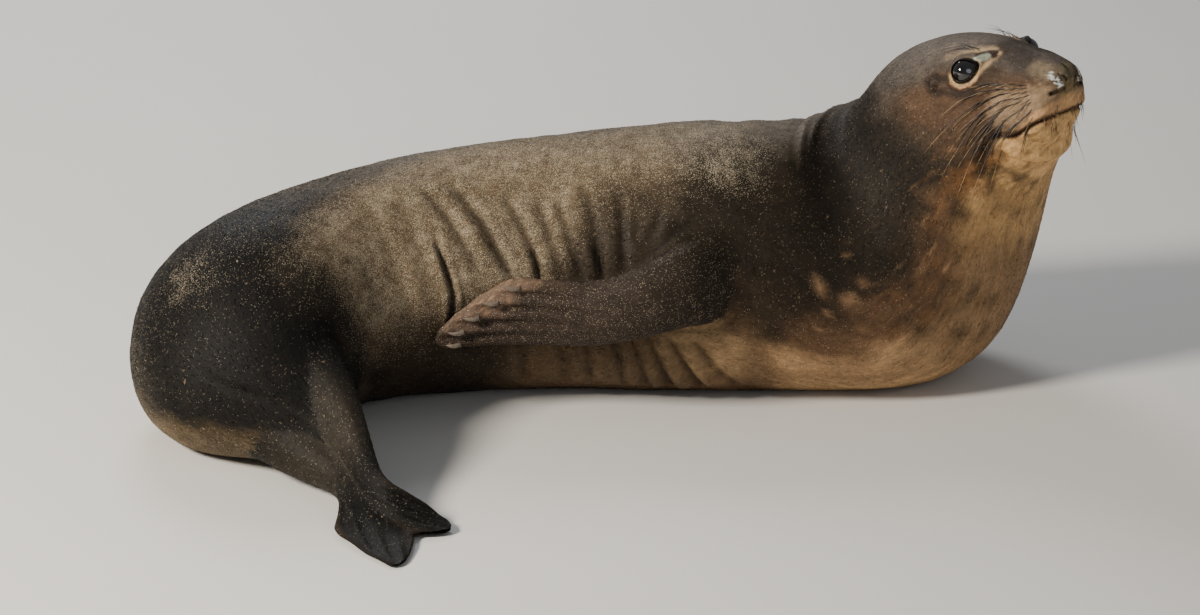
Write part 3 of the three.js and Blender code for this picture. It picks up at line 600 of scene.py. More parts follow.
def surface_in_eye(u, v, side):
    """Height of the bare head over points of an eye's own plane: Newton's method on distance and angle."""
    origin, slit, across, look = eye_frame(side)
    s, a = np.full(u.shape, 160.0), np.full(u.shape, np.radians(EYE_ANGLE) * side)

    def miss(s, a):
        p = stem_point(s, a) - origin
        return np.stack([p @ slit - u, p @ across - v])

    for _ in range(14):
        here = miss(s, a)
        by_s, by_a = (miss(s + 0.5, a) - here) / 0.5, (miss(s, a + 0.004) - here) / 0.004
        det = by_s[0] * by_a[1] - by_s[1] * by_a[0]
        s = s - np.clip((here[0] * by_a[1] - here[1] * by_a[0]) / det, -15, 15)
        a = a - np.clip((by_s[0] * here[1] - by_s[1] * here[0]) / det, -0.15, 0.15)
    return (stem_point(s, a) - origin) @ look - COAT_DEPTH, s, a


LID_STEPS, LID_OUTER, LID_INNER = 120, 26, 12
LID_THICKNESS, UPPER_LID_EXTRA, LID_OUTER_SINK, LID_MARGIN_DROP = 3.4, 1.4, 2.6, 1.87
LID_INNER_REACH, LID_INNER_SINK, LID_INNER_CLEAR = 1.5, 14, 0.25
# Creases and swellings round the opening: distance in opening sizes, width, rise, on which lid
LID_FORMS = [(1.34, 0.05, -2.2, "upper"), (1.42, 0.09, 1.6, "lower"), (1.6, 0.05, -1.8, "lower"),
             (1.16, 0.03, -1.0, "both")]


def lid_skin(side):
    """Lids as a closed ring: out from the eyeball's surface, over creases, to sink into the head."""
    origin, slit, across, look = eye_frame(side)
    phi = np.linspace(0, 2 * np.pi, LID_STEPS, endpoint=False)[None, :]
    corner = corner_stretch(np.cos(phi), np.sin(phi))

    def plane(rho):
        return LID_LENGTH * rho * corner * np.cos(phi), LID_HEIGHT * rho * corner * np.sin(phi)

    rho = np.linspace(LID_REACH, 1.0, LID_OUTER)[:, None]
    u, v = plane(rho)
    head, s, a = surface_in_eye(u, v, side)
    upper = smooth(-0.2, 0.5, np.sin(phi)) * np.ones_like(u)
    over_ball = ball_height(u, v, EYE_RADIUS) + LID_THICKNESS + UPPER_LID_EXTRA * upper
    blend = smooth(1.02, 1.55, rho)
    w = over_ball * (1 - blend) + np.maximum(head, over_ball * 0.2) * blend
    shares = {"upper": upper, "lower": 1 - upper, "both": 1.0}
    for at, width, rise, lids in LID_FORMS:
        w = w + rise * bell(rho - at, width) * shares[lids]
    w = w - LID_OUTER_SINK * smooth(LID_REACH - 0.22, LID_REACH, rho)
    w = w - LID_MARGIN_DROP * smooth(1.09, 1.0, rho) ** 2
    inner = np.linspace(1.0, LID_INNER_REACH, LID_INNER)[:, None]
    ui, vi = plane(inner)
    wi = ball_height(ui, vi, EYE_RADIUS + LID_INNER_CLEAR)
    wi = wi - LID_INNER_SINK * smooth(1.15, LID_INNER_REACH, inner)
    u, v, w = np.concatenate([u, ui]), np.concatenate([v, vi]), np.concatenate([w, wi])
    p = origin + u[..., None] * slit + v[..., None] * across + w[..., None] * look
    s, a = [np.concatenate([x, np.repeat(x[-1:], LID_INNER, 0)]) for x in (s, a)]
    return s, a, p


# Parts of the skin: 0 the body, then the limbs, then the lids. The lie map's first number is metres along
# the part, plus a step for each part after the body, and its second is the turn round it.
PART_STEP = 10.0
FIRST_LID_PART = 5
# Places of the parts on the bake map: left, bottom, width, height
BAKE_MAP = "OFBake"
BAKE_ROOMS = np.array([
    (0.02, 0.03, 0.96, 0.56), (0.02, 0.63, 0.22, 0.2), (0.26, 0.63, 0.22, 0.2), (0.5, 0.63, 0.22, 0.2),
    (0.74, 0.63, 0.22, 0.2), (0.02, 0.86, 0.3, 0.1), (0.36, 0.86, 0.3, 0.1),
])
PART_LENGTHS = np.array([STEM_LENGTH * MM, 1, 1, 1, 1, 1, 1])


def part_along(lie):
    """The part that a place of the lie map is on, and the metres along it."""
    part = np.clip(np.round((lie[..., 0] - PART_STEP * 0.1) / PART_STEP), 0, len(BAKE_ROOMS) - 1).astype(int)
    return part, lie[..., 0] - part * PART_STEP


def is_limb(part):
    """Whether a part is one of the four limbs."""
    return (part > 0) & (part < FIRST_LID_PART)


def is_fore(part):
    """Whether a part is a foreflipper."""
    return (part == 1) | (part == 2)


def bake_place(lie):
    """Place on the bake map: the lie map's distance and turn laid into the part's own room."""
    part, along = part_along(lie)
    left, bottom, width, height = np.moveaxis(BAKE_ROOMS[part], -1, 0)
    along = np.clip(along / PART_LENGTHS[part], 0, 1)
    return np.stack([left + width * along, bottom + height * (lie[..., 1] + 0.5) % 1.0], -1)


def corner_maps(part, places):
    """The lie map and the bake map of lists of corners, from distance in millimetres and turn in radians."""
    lies = [np.stack([s * MM + part * PART_STEP, turn / (2 * np.pi)], -1) for s, turn in places]
    return {"lie": lies, BAKE_MAP: [bake_place(lie) for lie in lies]}


def grid_quads(rings, steps, closed=False):
    """Corner numbers of the faces of a grid of rings closed round, with or without last ring to first."""
    i, j = np.indices((rings if closed else rings - 1, steps)).reshape(2, -1)
    here, ahead, k = i * steps, (i + 1) % rings * steps, (j + 1) % steps
    return np.stack([here + j, here + k, ahead + k, ahead + j], 1)


def end_fans(rings, steps):
    """Corner numbers of the triangles from the first and last rings to poles numbered after the grid."""
    j = np.arange(steps)
    k, last, pole = (j + 1) % steps, (rings - 1) * steps, rings * steps
    first_fan = np.stack([np.full(steps, pole), k, j], 1)
    return first_fan, np.stack([last + j, last + k, np.full(steps, pole + 1)], 1)


def closed_grid(p, s, angle, part):
    """Vertices, faces and corner maps of a grid of rings that is closed round and at both ends."""
    rings, steps = p.shape[:2]
    verts = np.concatenate([p.reshape(-1, 3), p[:1].mean(1), p[-1:].mean(1)])
    s_all = np.concatenate([s.ravel(), [s[0].mean()], [s[-1].mean()]])
    a_all = np.concatenate([angle.ravel(), [0.0], [0.0]])

    def place(faces, pole=None):
        ring = [corner for corner in range(faces.shape[1]) if corner != pole]
        turn = a_all[faces]
        low = turn[:, ring].min(axis=1, keepdims=True)
        turn = np.where(turn - low > np.pi, turn - 2 * np.pi, turn)
        if pole is not None:
            turn[:, pole] = turn[:, ring].mean(axis=1)
        return s_all[faces], turn

    quads = grid_quads(rings, steps)
    first_fan, last_fan = end_fans(rings, steps)
    faces = [quads, first_fan, last_fan]
    maps = corner_maps(part, [place(quads), place(first_fan, 0), place(last_fan, 2)])
    if np.sum(verts[quads[:, 0]] * np.cross(verts[quads[:, 1]], verts[quads[:, 2]])) < 0:
        faces = [face[:, ::-1] for face in faces]
        maps = {name: [values[:, ::-1] for values in lists] for name, lists in maps.items()}
    return verts, faces, maps


def new_object(name, verts, faces, maps=None):
    """A smooth mesh object from vertices in the solids' millimetres and lists of equal-sided faces."""
    mesh = bpy.data.meshes.new(name)
    corners = np.concatenate([f.ravel() for f in faces]).astype(np.int32)
    sizes = np.concatenate([np.full(len(f), f.shape[1]) for f in faces]).astype(np.int32)
    mesh.vertices.add(len(verts))
    mesh.vertices.foreach_set("co", ((verts - FOOTPRINT_MIDDLE) * MM).astype(np.float32).ravel())
    mesh.loops.add(len(corners))
    mesh.loops.foreach_set("vertex_index", corners)
    mesh.polygons.add(len(sizes))
    mesh.polygons.foreach_set("loop_start", (np.cumsum(sizes) - sizes).astype(np.int32))
    mesh.polygons.foreach_set("use_smooth", np.full(len(sizes), True))
    mesh.update(calc_edges=True)
    for map_name, values in (maps or {}).items():
        flat = np.concatenate([v.reshape(-1, 2) for v in values])
        mesh.uv_layers.new(name=map_name).data.foreach_set("uv", flat.astype(np.float32).ravel())
    mesh.validate()
    piece = bpy.data.objects.new(name, mesh)
    bpy.context.scene.collection.objects.link(piece)
    return piece


def ring_object(name, s, angle, p, part):
    """A grid closed both ways, as a ring with a closed section."""
    rings, steps = p.shape[:2]
    quads, verts = grid_quads(rings, steps, closed=True), p.reshape(-1, 3)
    edge = verts[quads]
    n = np.cross(edge[:, 1] - edge[:, 0], edge[:, 3] - edge[:, 0])
    section = p.mean(axis=0)[quads[:, 0] % steps]
    if np.sum(n * (edge.mean(1) - section)) < 0:
        quads = quads[:, ::-1]
    return new_object(name, verts, [quads], corner_maps(part, [(s.ravel()[quads], angle.ravel()[quads])]))


def joined(base, others):
    """The union of closed meshes, with their maps."""
    group = bpy.data.collections.new("to_join")
    bpy.context.scene.collection.children.link(group)
    for other in others:
        bpy.context.scene.collection.objects.unlink(other)
        group.objects.link(other)
    union = base.modifiers.new("join", "BOOLEAN")
    union.operation, union.solver = "UNION", "MANIFOLD"
    union.operand_type, union.collection = "COLLECTION", group
    graph = bpy.context.evaluated_depsgraph_get()
    mesh = bpy.data.meshes.new_from_object(base.evaluated_get(graph))
    mesh.name = "seal_skin"
    mesh.materials.clear()
    piece = bpy.data.objects.new("seal_skin", mesh)
    bpy.context.scene.collection.objects.link(piece)
    for old in [base, *others]:
        bpy.data.objects.remove(old)
    bpy.data.collections.remove(group)
    return piece


def read(items, name, width, kind=float):
    """A value of every vertex, edge, corner or triangle, one row each."""
    values = np.empty(len(items) * width, np.float32 if kind is float else np.int32)
    items.foreach_get(name, values)
    return values.astype(kind).reshape(-1, width) if width > 1 else values


def store(mesh, name, kind, values, domain="POINT"):
    """Keeps a number, vector or colour for each vertex or corner."""
    layers = mesh.color_attributes if kind == "FLOAT_COLOR" else mesh.attributes
    field = {"FLOAT": "value", "FLOAT_VECTOR": "vector", "FLOAT_COLOR": "color"}[kind]
    layer = layers.new(name=name, type=kind, domain=domain)
    layer.data.foreach_set(field, values.astype(np.float32).ravel())


def mesh_arrays(mesh):
    """Vertices in metres, then the vertex and the lie of each corner."""
    return (read(mesh.vertices, "co", 3), read(mesh.loops, "vertex_index", 1, int),
            read(mesh.uv_layers["lie"].data, "uv", 2))


FAIR_SPREAD, FAIR_FALL, FAIR_ROUNDS, FAIR_PULL = 7, 0.86, 26, 0.55


def fair_joints(mesh):
    """Relaxes the vertices near where two parts meet to their neighbours' mean, most at the joint itself."""
    co, corner, lie = mesh_arrays(mesh)
    one, other = read(mesh.edges, "vertices", 2, int).T
    part, _ = part_along(lie)
    low, high = np.full(len(co), 99), np.full(len(co), -99)
    np.minimum.at(low, corner, part)
    np.maximum.at(high, corner, part)
    weight = (low != high).astype(float)
    for _ in range(FAIR_SPREAD):
        grown = weight.copy()
        np.maximum.at(grown, one, weight[other] * FAIR_FALL)
        np.maximum.at(grown, other, weight[one] * FAIR_FALL)
        weight = grown
    weight = smooth(FAIR_FALL ** (FAIR_SPREAD + 1), 0.9, weight)[:, None]
    neighbours = np.maximum(np.bincount(np.concatenate([one, other]), minlength=len(co)), 1)[:, None]
    for _ in range(FAIR_ROUNDS):
        sums = np.stack([np.bincount(one, axis[other], len(co)) + np.bincount(other, axis[one], len(co))
                         for axis in co.T], 1)
        co = co + FAIR_PULL * weight * (sums / neighbours - co)
    co[:, 2] = np.maximum(co[:, 2], 0)
    mesh.vertices.foreach_set("co", co.astype(np.float32).ravel())
    mesh.update()


def build_skin():
    """Body, limbs and lids made one skin, with the joins faired."""
    s, angle, p = stem_skin()
    p[..., 2] = np.maximum(p[..., 2], FLOOR_CLEAR)
    stem = new_object("stem", *closed_grid(p, s, angle, 0))
    others = []
    for part, (name, limb) in enumerate(LIMBS.items(), 1):
        t, turn, p = limb_skin(*limb)
        p[..., 2] = np.maximum(p[..., 2], FLOOR_CLEAR)
        others.append(new_object(name + "_form", *closed_grid(p, t / MM, np.pi - turn, part)))
    for part, side in enumerate((1, -1), FIRST_LID_PART):
        others.append(ring_object(f"lids_{part}", *lid_skin(side), part))
    skin = joined(stem, others)
    fair_joints(skin.data)
    return skin


# Colours of the coat, in sRGB out of 255
DARK_BROWN, SHOULDER_BROWN, RUMP_BLACK_AND_SHADE, NECK_SHADE = (46, 38, 29), (33, 27, 20), (12, 11, 10), (19, 16, 12)
BACK_GREY, FLANK_BROWN, BELLY_TAN, CHEST_BROWN = (92, 84, 74), (88, 74, 56), (162, 130, 94), (84, 63, 45)
HIP_BROWN, LOW_HIP_BROWN, LOIN_BROWN, THIGH_BROWN = (40, 35, 28), (112, 94, 68), (64, 52, 38), (50, 44, 36)
RUST, PALE_FLECK, THROAT_GOLD, SHEEN_TAN = (122, 84, 50), (170, 132, 94), (214, 172, 116), (190, 158, 116)
CROWN_GREY, CHEEK_BROWN, MUZZLE, LIP_TAN = (84, 76, 68), (80, 59, 42), (146, 122, 96), (200, 156, 112)
JAW_BROWN, CHIN_GREY, MOUTH_LINE_PAINTED_SHADE, NOSE_PAD = (140, 98, 60), (92, 78, 58), (60, 36, 22), (98, 88, 68)
EYE_RING, EYE_RING_RUST, EYE_RING_SHADE = (192, 164, 122), (158, 104, 66), (30, 22, 18)
FLIPPER_BROWN, TIP_PINK, HIND_DARK, SCAR_TAN = (52, 43, 37), (116, 94, 78), (22, 21, 19), (150, 118, 86)
GROOVE_PAINTED_SHADE, EAR_PAINTED_SHADE, LID_DARK, WET_PAINTED_HIGHLIGHT = (12, 10, 9), (22, 18, 16), (20, 17, 17), (236, 240, 232)


def linear(colour):
    """Linear light from sRGB out of 255."""
    c = np.asarray(colour, float) / 255
    return np.where(c < 0.04045, c / 12.92, ((c + 0.055) / 1.055) ** 2.4)


def mixed(base, colour, share):
    """The base with a share of a colour in its place."""
    return base + (linear(colour) - base) * np.clip(share, 0, 1)[..., None]


def banded(fields, limits):
    """The product of a band of each named field."""
    share = 1.0
    for name, limit in limits.items():
        share = share * band(fields[name], *limit)
    return share


def painted(c, bands, fields):
    """A colour with each band laid over it in turn."""
    for colour, strength, limits in bands:
        c = mixed(c, colour, strength * banded(fields, limits))
    return c


# Bands of colour laid over one another: colour, strength, and each field's limits and softness. s is the
# distance from the nose, and turn the degrees round from the back.
BACK_BANDS = [
    (BACK_GREY, 0.85, dict(s=(660, 1720, 180), turn=(None, 45, 21))),
    (SHOULDER_BROWN, 0.95, dict(s=(560, 1120, 70), turn=(56, 112, 13))),
    (SHOULDER_BROWN, 0.92, dict(s=(340, 700, 60), turn=(26, 112, 13))),
    (NECK_SHADE, 0.6, dict(s=(330, 640, 60), turn=(34, 106, 14))),
    # near-black hide of the rump, deepened by painted shade
    (RUMP_BLACK_AND_SHADE, 0.96, dict(s=(1970, None, 90))),
    (HIP_BROWN, 0.8, dict(s=(2060, 2290, 60), turn=(50, 112, 16))),
    (LOIN_BROWN, 0.85, dict(s=(1760, 2130, 110), turn=(84, 142, 16))),
]
LOWER = dict(s=(190, 640, 50), turn=(103, None, 13))  # throat and lower neck
BELLY_BANDS = [
    (LOW_HIP_BROWN, 0.62, dict(s=(2025, None, 75), hip_height=(None, 85, 65))),
    (CHEST_BROWN, 0.92, dict(s=(350, 1060, 80), turn=(113, None, 9))),
    (BELLY_TAN, 0.9, dict(s=(600, 900, 70), turn=(138, None, 10))),
    (BELLY_TAN, 0.6, dict(s=(420, 680, 60), turn=(146, None, 12))),
    (BELLY_TAN, 0.2, dict(s=(980, 1500, 90), turn=(139, None, 11))),
    (SHEEN_TAN, 0.3, dict(s=(960, 1160, 50), turn=(138, 166, 12))),
    (SHEEN_TAN, 0.55, dict(s=(430, 900, 60), chest_height=(None, 45, 29))),
    (CROWN_GREY, 0.9, dict(s=(None, 305, 65), turn=(None, 58, 18))),
    (CHEEK_BROWN, 0.85, dict(s=(None, 285, 45), turn=(55, 112, 14))),
    (RUST, 0.8, dict(s=(None, 350, 50), turn=(121, None, 9))),
    (THROAT_GOLD, 0.95, dict(ragged_s=(None, 320, 30), turn=(141, None, 11))),
    (THROAT_GOLD, 0.6, dict(s=(320, 440, 50), turn=(141, None, 13))),
    (RUST, 0.3, dict(LOWER, rusty=(0.4, None, 0.3))),
    (DARK_BROWN, 0.6, dict(LOWER, smoky=(0.425, None, 0.275))),
    (SHOULDER_BROWN, 0.86, dict(s=(430, 1010, 45), turn=(88, None, 8), past_chest_edge=(None, 1, 10))),
    (PALE_FLECK, 0.4, dict(LOWER, patchy=(0.75, None, 0.15))),
]
# Dry sand: amount, and the limits of its fields
SAND_BANDS = [
    (-0.016, dict(s=(2050, None, 100))),
    (0.3, dict(s=(900, 1950, 140), turn=(None, 26, 14))),
    (0.3, dict(s=(1780, 2130, 120), turn=(84, 138, 14))),
    (0.1, dict(s=(1900, 2250, 120), turn=(None, 85, 25))),
    (0.35, dict(s=(2075, None, 75), height=(None, 72, 48))),
    (0.12, dict(s=(2060, 2250, 60), turn=(50, 112, 16))),
    (0.3, dict(s=(2170, 2235, 24), turn=(None, 11, 5))),
]
SAND_SHOULDER = dict(s=(880, 1180, 80), turn=(30, 70, 12))
SAND_EVERYWHERE, SAND_FLANK, SAND_HEAD, SAND_FORE, SAND_HIND = 0.03, 0.95, 0.015, 0.1, 0.03
SAND_FROM = 420  # distance from the nose
# Scars and worn places: distance from the nose, degrees, radius, strength
SCARS = [(660, 113, 15, 0.6), (730, 106, 20, 0.5), (604, 110, 11, 0.5), (730, 118, 8, 0.5),
         (615, 98, 7, 0.45), (770, 126, 6, 0.45), (560, 116, 8, 0.4)]


def flank_share(s, turn, soft):
    """The sandy flank: one in a band of distance from the nose and degrees from the back, with soft edges."""
    high = 24 + 26 * smooth(1500, 2050, s)
    low = 76 + 44 * smooth(1230, 1480, s) - 10 * smooth(1900, 2100, s)
    return band(s, 1080, 2120, soft) * smooth(high - 6, high + 18, turn) * smooth(low + 16, low - 16, turn)


def stem_colour(s, angle, p):
    """Colours by distance from the nose and degrees from the back, alike on both sides, with soft edges."""
    wander, fine, patchy = slow_waves(p, 21, 260), slow_waves(p, 22, 60), slow_waves(p, 25, 26)
    turn = np.abs(np.degrees(np.arctan2(np.sin(angle), np.cos(angle)))) + 8 * wander + 5 * fine
    s = s + 30 * wander + 14 * fine
    fields = {
        "s": s, "turn": turn, "patchy": patchy, "ragged_s": s + 30 * patchy,
        "hip_height": p[..., 2] + 24 * fine, "chest_height": p[..., 2] + 10 * fine,
        "rusty": slow_waves(p, 23, 52), "smoky": slow_waves(p, 26, 80),
        "past_chest_edge": turn - 118 - 19 * smooth(780, 900, s),
    }
    c = painted(np.broadcast_to(linear(DARK_BROWN), p.shape), BACK_BANDS, fields)
    return painted(mixed(c, FLANK_BROWN, 0.95 * flank_share(s, turn, 100)), BELLY_BANDS, fields)


# Marks of the face on both sides: colour, strength, half width, soft edge, then forward, right and up
FACE_MARKS = [
    ((48, 39, 33), 0.85, 26, 26, [(56, 24, 44), (104, 30, 22)]),
    ((96, 84, 76), 0.6, 16, 20, [(-60, 60, 56), (-20, 40, 62)]),
    ((58, 46, 36), 0.7, 12, 14, [(30, 88, -14), (60, 84, 4)]),
    (MUZZLE, 0.85, 30, 26, [(160, 50, -70), (112, 80, -80), (84, 90, -74)]),
    ((132, 114, 92), 0.7, 14, 16, [(150, 40, -6), (172, 30, -22)]),
    (NOSE_PAD, 0.85, 13, 12, [(192, 6, -18), (204, 8, -40), (196, 8, -62)]),
    # painted shade along the fold round the ear
    ((34, 26, 21), 0.8, 6, 8,
     [(-54, 122, 2), (-78, 119, 8), (-96, 119, -4), (-88, 124, -24), (-64, 127, -30)]),
    ((44, 34, 28), 0.75, 9, 9, [(-76, 122, -10), (-84, 122, -4)]),
    # painted shade along the crease under the eye
    ((38, 30, 25), 0.8, 5, 8, [(-56, 126, -26), (-20, 118, -38), (18, 108, -34)]),
    # painted shadow along the jaw's crease
    ((34, 25, 19), 0.85, 9, 15, [(58, 114, -128), (40, 126, -148), (24, 134, -172), (20, 130, -200)]),
    ((40, 29, 21), 0.7, 6, 12, [(44, 112, -196), (20, 112, -226), (4, 100, -250)]),
    ((132, 114, 92), 0.7, 6, 9, [(-66, 84, 38), (-44, 77, 42), (-10, 62, 48), (24, 42, 50)]),
    ((180, 152, 116), 0.65, 3.5, 8, [(-22, 70, 42), (4, 59, 46), (36, 40, 46)]),
    ((188, 158, 118), 0.65, 3, 7, [(16, 94, -8), (30, 82, 10), (46, 60, 26), (52, 44, 36)]),
    ((98, 80, 68), 0.85, 7, 6, [(14, 84, 24), (28, 72, 30), (40, 56, 34)]),
    ((34, 25, 21), 0.95, 6, 4, [(14, 70, 42), (30, 56, 43), (44, 48, 37), (44, 54, 30)]),
    ((132, 138, 122), 0.95, 8, 3.5, [(17, 75, 33), (30, 64, 34)]),
    ((196, 212, 196), 0.9, 3, 2.5, [(8, 80, 34)]),
]
FACE_MARKS = [(*mark[:4], on_head(mark[4])) for mark in FACE_MARKS]
LIP_SLOPE = ([-230, -196, -150, -100], [40, 36, 22, 8])  # places backwards, and the pale lip's height there


def face_colour(c, p):
    """The muzzle, lips, nose pad, pale rings round the eyes and lid rims, with painted shade in the mouth
    line, nose grooves, nostrils and ear pits, and a painted highlight on the wet skin above the nostril.
    """
    local, side = on_right(p)
    forward, up = local[..., 0], local[..., 2]
    fine, coarse = slow_waves(p, 24, 16), slow_waves(p, 27, 34)
    for colour, strength, wide, soft, line in FACE_MARKS:
        gap = line_distance(local, line)[0] if len(line) > 1 else np.linalg.norm(local - line[0], axis=-1)
        c = mixed(c, colour, strength * smooth(wide + soft, wide - soft * 0.4, gap + 0.25 * soft * fine))
    above = up - mouth_height(forward)
    slope = np.interp(-forward, *LIP_SLOPE)
    lip = smooth(-1, 2, above) * smooth(slope + 6, slope - 6, above + 3 * coarse) * smooth(90, 120, forward)
    c = mixed(c, LIP_TAN, 0.85 * lip)
    jaw = smooth(4, -4, above) * smooth(44, 84, forward) * smooth(-262, -236, up)
    c = mixed(c, THROAT_GOLD, 0.85 * jaw)
    c = mixed(c, JAW_BROWN, 0.6 * jaw * smooth(0.0, 0.7, coarse))
    chin = jaw * smooth(140, 176, forward + 12 * fine) * smooth(0.1, 0.5, slow_waves(p, 28, 12))
    c = mixed(c, CHIN_GREY, 0.7 * chin)
    # painted shade along the mouth line: brown at its edges and near-black in the gap
    gap, _ = line_distance(local[..., [0, 2]], MOUTH_LINE)
    line = smooth(MOUTH_CORNER - 4, MOUTH_CORNER + 10, forward)
    c = mixed(c, MOUTH_LINE_PAINTED_SHADE, 0.8 * smooth(7, 3, gap) * line)
    c = mixed(c, GROOVE_PAINTED_SHADE, 0.95 * smooth(3.6, 1.6, gap) * line)
    # painted shade in the nose's grooves
    for groove_line, width in NOSE_GROOVES:
        gap, _ = line_distance(local, groove_line)
        c = mixed(c, GROOVE_PAINTED_SHADE, 0.9 * smooth(width * 1.5, width * 0.5, gap))
    # painted highlight on the wet skin above the nostril, broken into spots
    gap, _ = line_distance(local, WET_HIGHLIGHT_LINE)
    spots = smooth(0.35, -0.25, slow_waves(p, 29, 9))
    c = mixed(c, WET_PAINTED_HIGHLIGHT, 0.95 * smooth(9.5, 6, gap + 2.5 * fine) * spots)
    # painted shade in the nostril slits
    slit = (local - NOSTRIL_AT) @ NOSTRIL_ALONG
    away = np.linalg.norm(local - NOSTRIL_AT - slit[..., None] * NOSTRIL_ALONG, axis=-1)
    c = mixed(c, GROOVE_PAINTED_SHADE, 0.97 * smooth(6.5, 3, away) * smooth(25, 17, np.abs(slit)))
    # painted shade in the ear pits
    c = mixed(c, EAR_PAINTED_SHADE, 0.9 * smooth(9, 4, np.linalg.norm(local - EAR_AT, axis=-1)))
    for which in (1, -1):
        u, v, w, rho = in_eye(p, which)
        here = (side * which > 0) & (w > EYE_BEHIND)
        low_back = smooth(-0.35, 0.75, np.cos(np.arctan2(v / LID_HEIGHT, u / LID_LENGTH) + 2.1))
        reach = 1.38 + 0.2 * low_back + 0.08 * fine + 0.07 * slow_waves(p, 33, 9)
        mottled = here * np.clip(0.74 + 0.5 * slow_waves(p, 30, 8), 0, 1)
        c = mixed(c, EYE_RING, (0.4 + 0.54 * low_back) * smooth(reach + 0.1, reach - 0.08, rho) * mottled)
        c = mixed(c, EYE_RING_RUST, 0.5 * band(rho - reach, -0.1, 0.1, 0.05) * low_back * mottled)
        c = mixed(c, EYE_RING_SHADE, 0.75 * band(rho - reach, 0.16, 0.42, 0.12) * low_back * here)
        c = mixed(c, LID_DARK, 0.97 * smooth(1.3 + 0.06 * fine, 1.2, rho) * here)
    return c


def limb_colour(part, t, angle, p):
    """Brown foreflippers with worn, pinkish tips, near-black hind limbs with a brown thigh, paler edges; the
    near-black is dark hide with painted shade in it.
    """
    fore = is_fore(part)
    fine, worn = slow_waves(p, 31, 50), slow_waves(p, 32, 20)
    # the hind limbs start from the rump's near-black, which holds painted shade
    c = np.where(fore[..., None], linear(SHOULDER_BROWN), linear(RUMP_BLACK_AND_SHADE))
    c = mixed(c, FLIPPER_BROWN, fore * 0.9 * smooth(0.14, 0.5, t + 0.05 * fine))
    tip = fore * smooth(0.8, 0.96, t + 0.05 * fine + 0.03 * worn) * smooth(0.7, -0.3, np.cos(angle))
    c = mixed(c, TIP_PINK, 0.75 * tip * (0.65 + 0.35 * smooth(-0.3, 0.5, worn)))
    c = mixed(c, PALE_FLECK, 0.45 * tip * smooth(0.35, 0.75, worn))
    c = mixed(c, THIGH_BROWN, ~fore * 0.7 * smooth(0.1, 0.42, t) * smooth(0.66, 0.46, t + 0.06 * worn))
    c = mixed(c, HIND_DARK, ~fore * 0.6 * smooth(0.3, 0.8, t))
    return mixed(c, SCAR_TAN, np.where(fore, 0.14, 0.08) * np.abs(np.cos(angle)) ** 6 * smooth(0.6, 0.95, t))


def coat_colour(lie, p):
    """Linear colour at places given by their lie and their point in the solids' millimetres."""
    part, along = part_along(lie)
    angle, s = lie[..., 1] * 2 * np.pi, along / MM
    c = stem_colour(s, angle, p)
    head = ((part == 0) & (s < STATION_AT["neck"])) | (part >= FIRST_LID_PART)
    c = np.where(head[..., None], face_colour(c, p), c)
    c = np.where(is_limb(part)[..., None], limb_colour(part, along, angle, p), c)
    for at, degrees, radius, strength in SCARS:
        near = np.hypot(s - at, (angle - np.radians(degrees)) * FOLD_RADIUS)
        c = mixed(c, SCAR_TAN, (part == 0) * strength * smooth(radius * 1.5, radius * 0.2, near))
    mottle = 1 + 0.16 * slow_waves(p, 61, 15) + 0.13 * slow_waves(p, 62, 44)
    return c * mottle[..., None]


def crease_shade(lie):
    """How deep a place lies in the body's folds, from 0 to 1; the coat material paints shade in the creases
    by it.
    """
    part, along = part_along(lie)
    relief = body_fold_relief(along / MM, lie[..., 1] * 2 * np.pi)
    return np.where(part == 0, np.clip(-relief / 8, 0, 1) ** 1.3, 0)


def sand_cover(lie, p):
    """Share of the coat that carries dry sand: most over the flank, some on the back, little elsewhere."""
    part, along = part_along(lie)
    wander = slow_waves(p, 21, 260)
    s, turn = along / MM + 30 * wander, np.abs((lie[..., 1] * 360 + 180) % 360 - 180) + 8 * wander
    fields = {"s": s, "turn": turn, "height": p[..., 2]}
    flank = np.maximum(flank_share(s, turn, 130), banded(fields, SAND_SHOULDER))
    cover = SAND_EVERYWHERE + SAND_FLANK * flank
    cover = cover + sum(amount * banded(fields, limits) for amount, limits in SAND_BANDS)
    cover = np.where(s < SAND_FROM, SAND_HEAD, cover * (0.8 + 0.35 * slow_waves(p, 41, 110)))
    return np.clip(np.where(part == 0, cover, np.where(is_fore(part), SAND_FORE, SAND_HIND)), 0, 1)


def lie_space(lie):
    """Metres along the lie, and round it on a circle, so that streaks run along the coat with no seam."""
    part, along = part_along(lie)
    radius = np.where(part == 0, 0.25, np.where(is_limb(part), 0.06, 0.1))
    along = np.where(is_limb(part), along * 0.6, along) + part * 1.3
    turn = lie[..., 1] * 2 * np.pi
    return np.stack([along, radius * np.sin(turn), radius * np.cos(turn)], -1)


def dress(mesh, colour, sand, crease, space):
    """Stores the coat's colour with its sand cover, its crease shade and its lie space."""
    store(mesh, "coat", "FLOAT_COLOR", np.concatenate([colour, sand[:, None]], 1))
    store(mesh, "crease", "FLOAT", crease)
    store(mesh, "lie_space", "FLOAT_VECTOR", space, "POINT" if len(space) == len(mesh.vertices) else "CORNER")


def dress_skin(mesh):
    """Dresses the skin, each vertex by the lie of its first corner, and its lie space by corner."""
    co, corner, lie = mesh_arrays(mesh)
    first = np.full(len(co), len(corner))
    np.minimum.at(first, corner, np.arange(len(corner)))
    at, p = lie[first], co / MM + FOOTPRINT_MIDDLE
    dress(mesh, coat_colour(at, p), sand_cover(at, p), crease_shade(at), lie_space(lie))


# Coat tufts: blades of three-sided section, laid along the coat
TUFTS_IN_PIECE = 19000
TUFT_KINDS = {  # tufts per square metre, length, width, rise of the tip
    "body": (15500, 9.5, 1.3, 0.5),
    "neck": (19000, 8.0, 1.15, 0.5),
    "head": (60000, 4.6, 0.85, 0.5),
    "muzzle": (80000, 3.0, 0.65, 0.35),
    "limb": (24000, 5.5, 1.1, 0.45),
}
TUFT_ROOT = 0.6  # depth of the root under the skin
TUFT_FLOOR = 5.0  # no roots lower than this
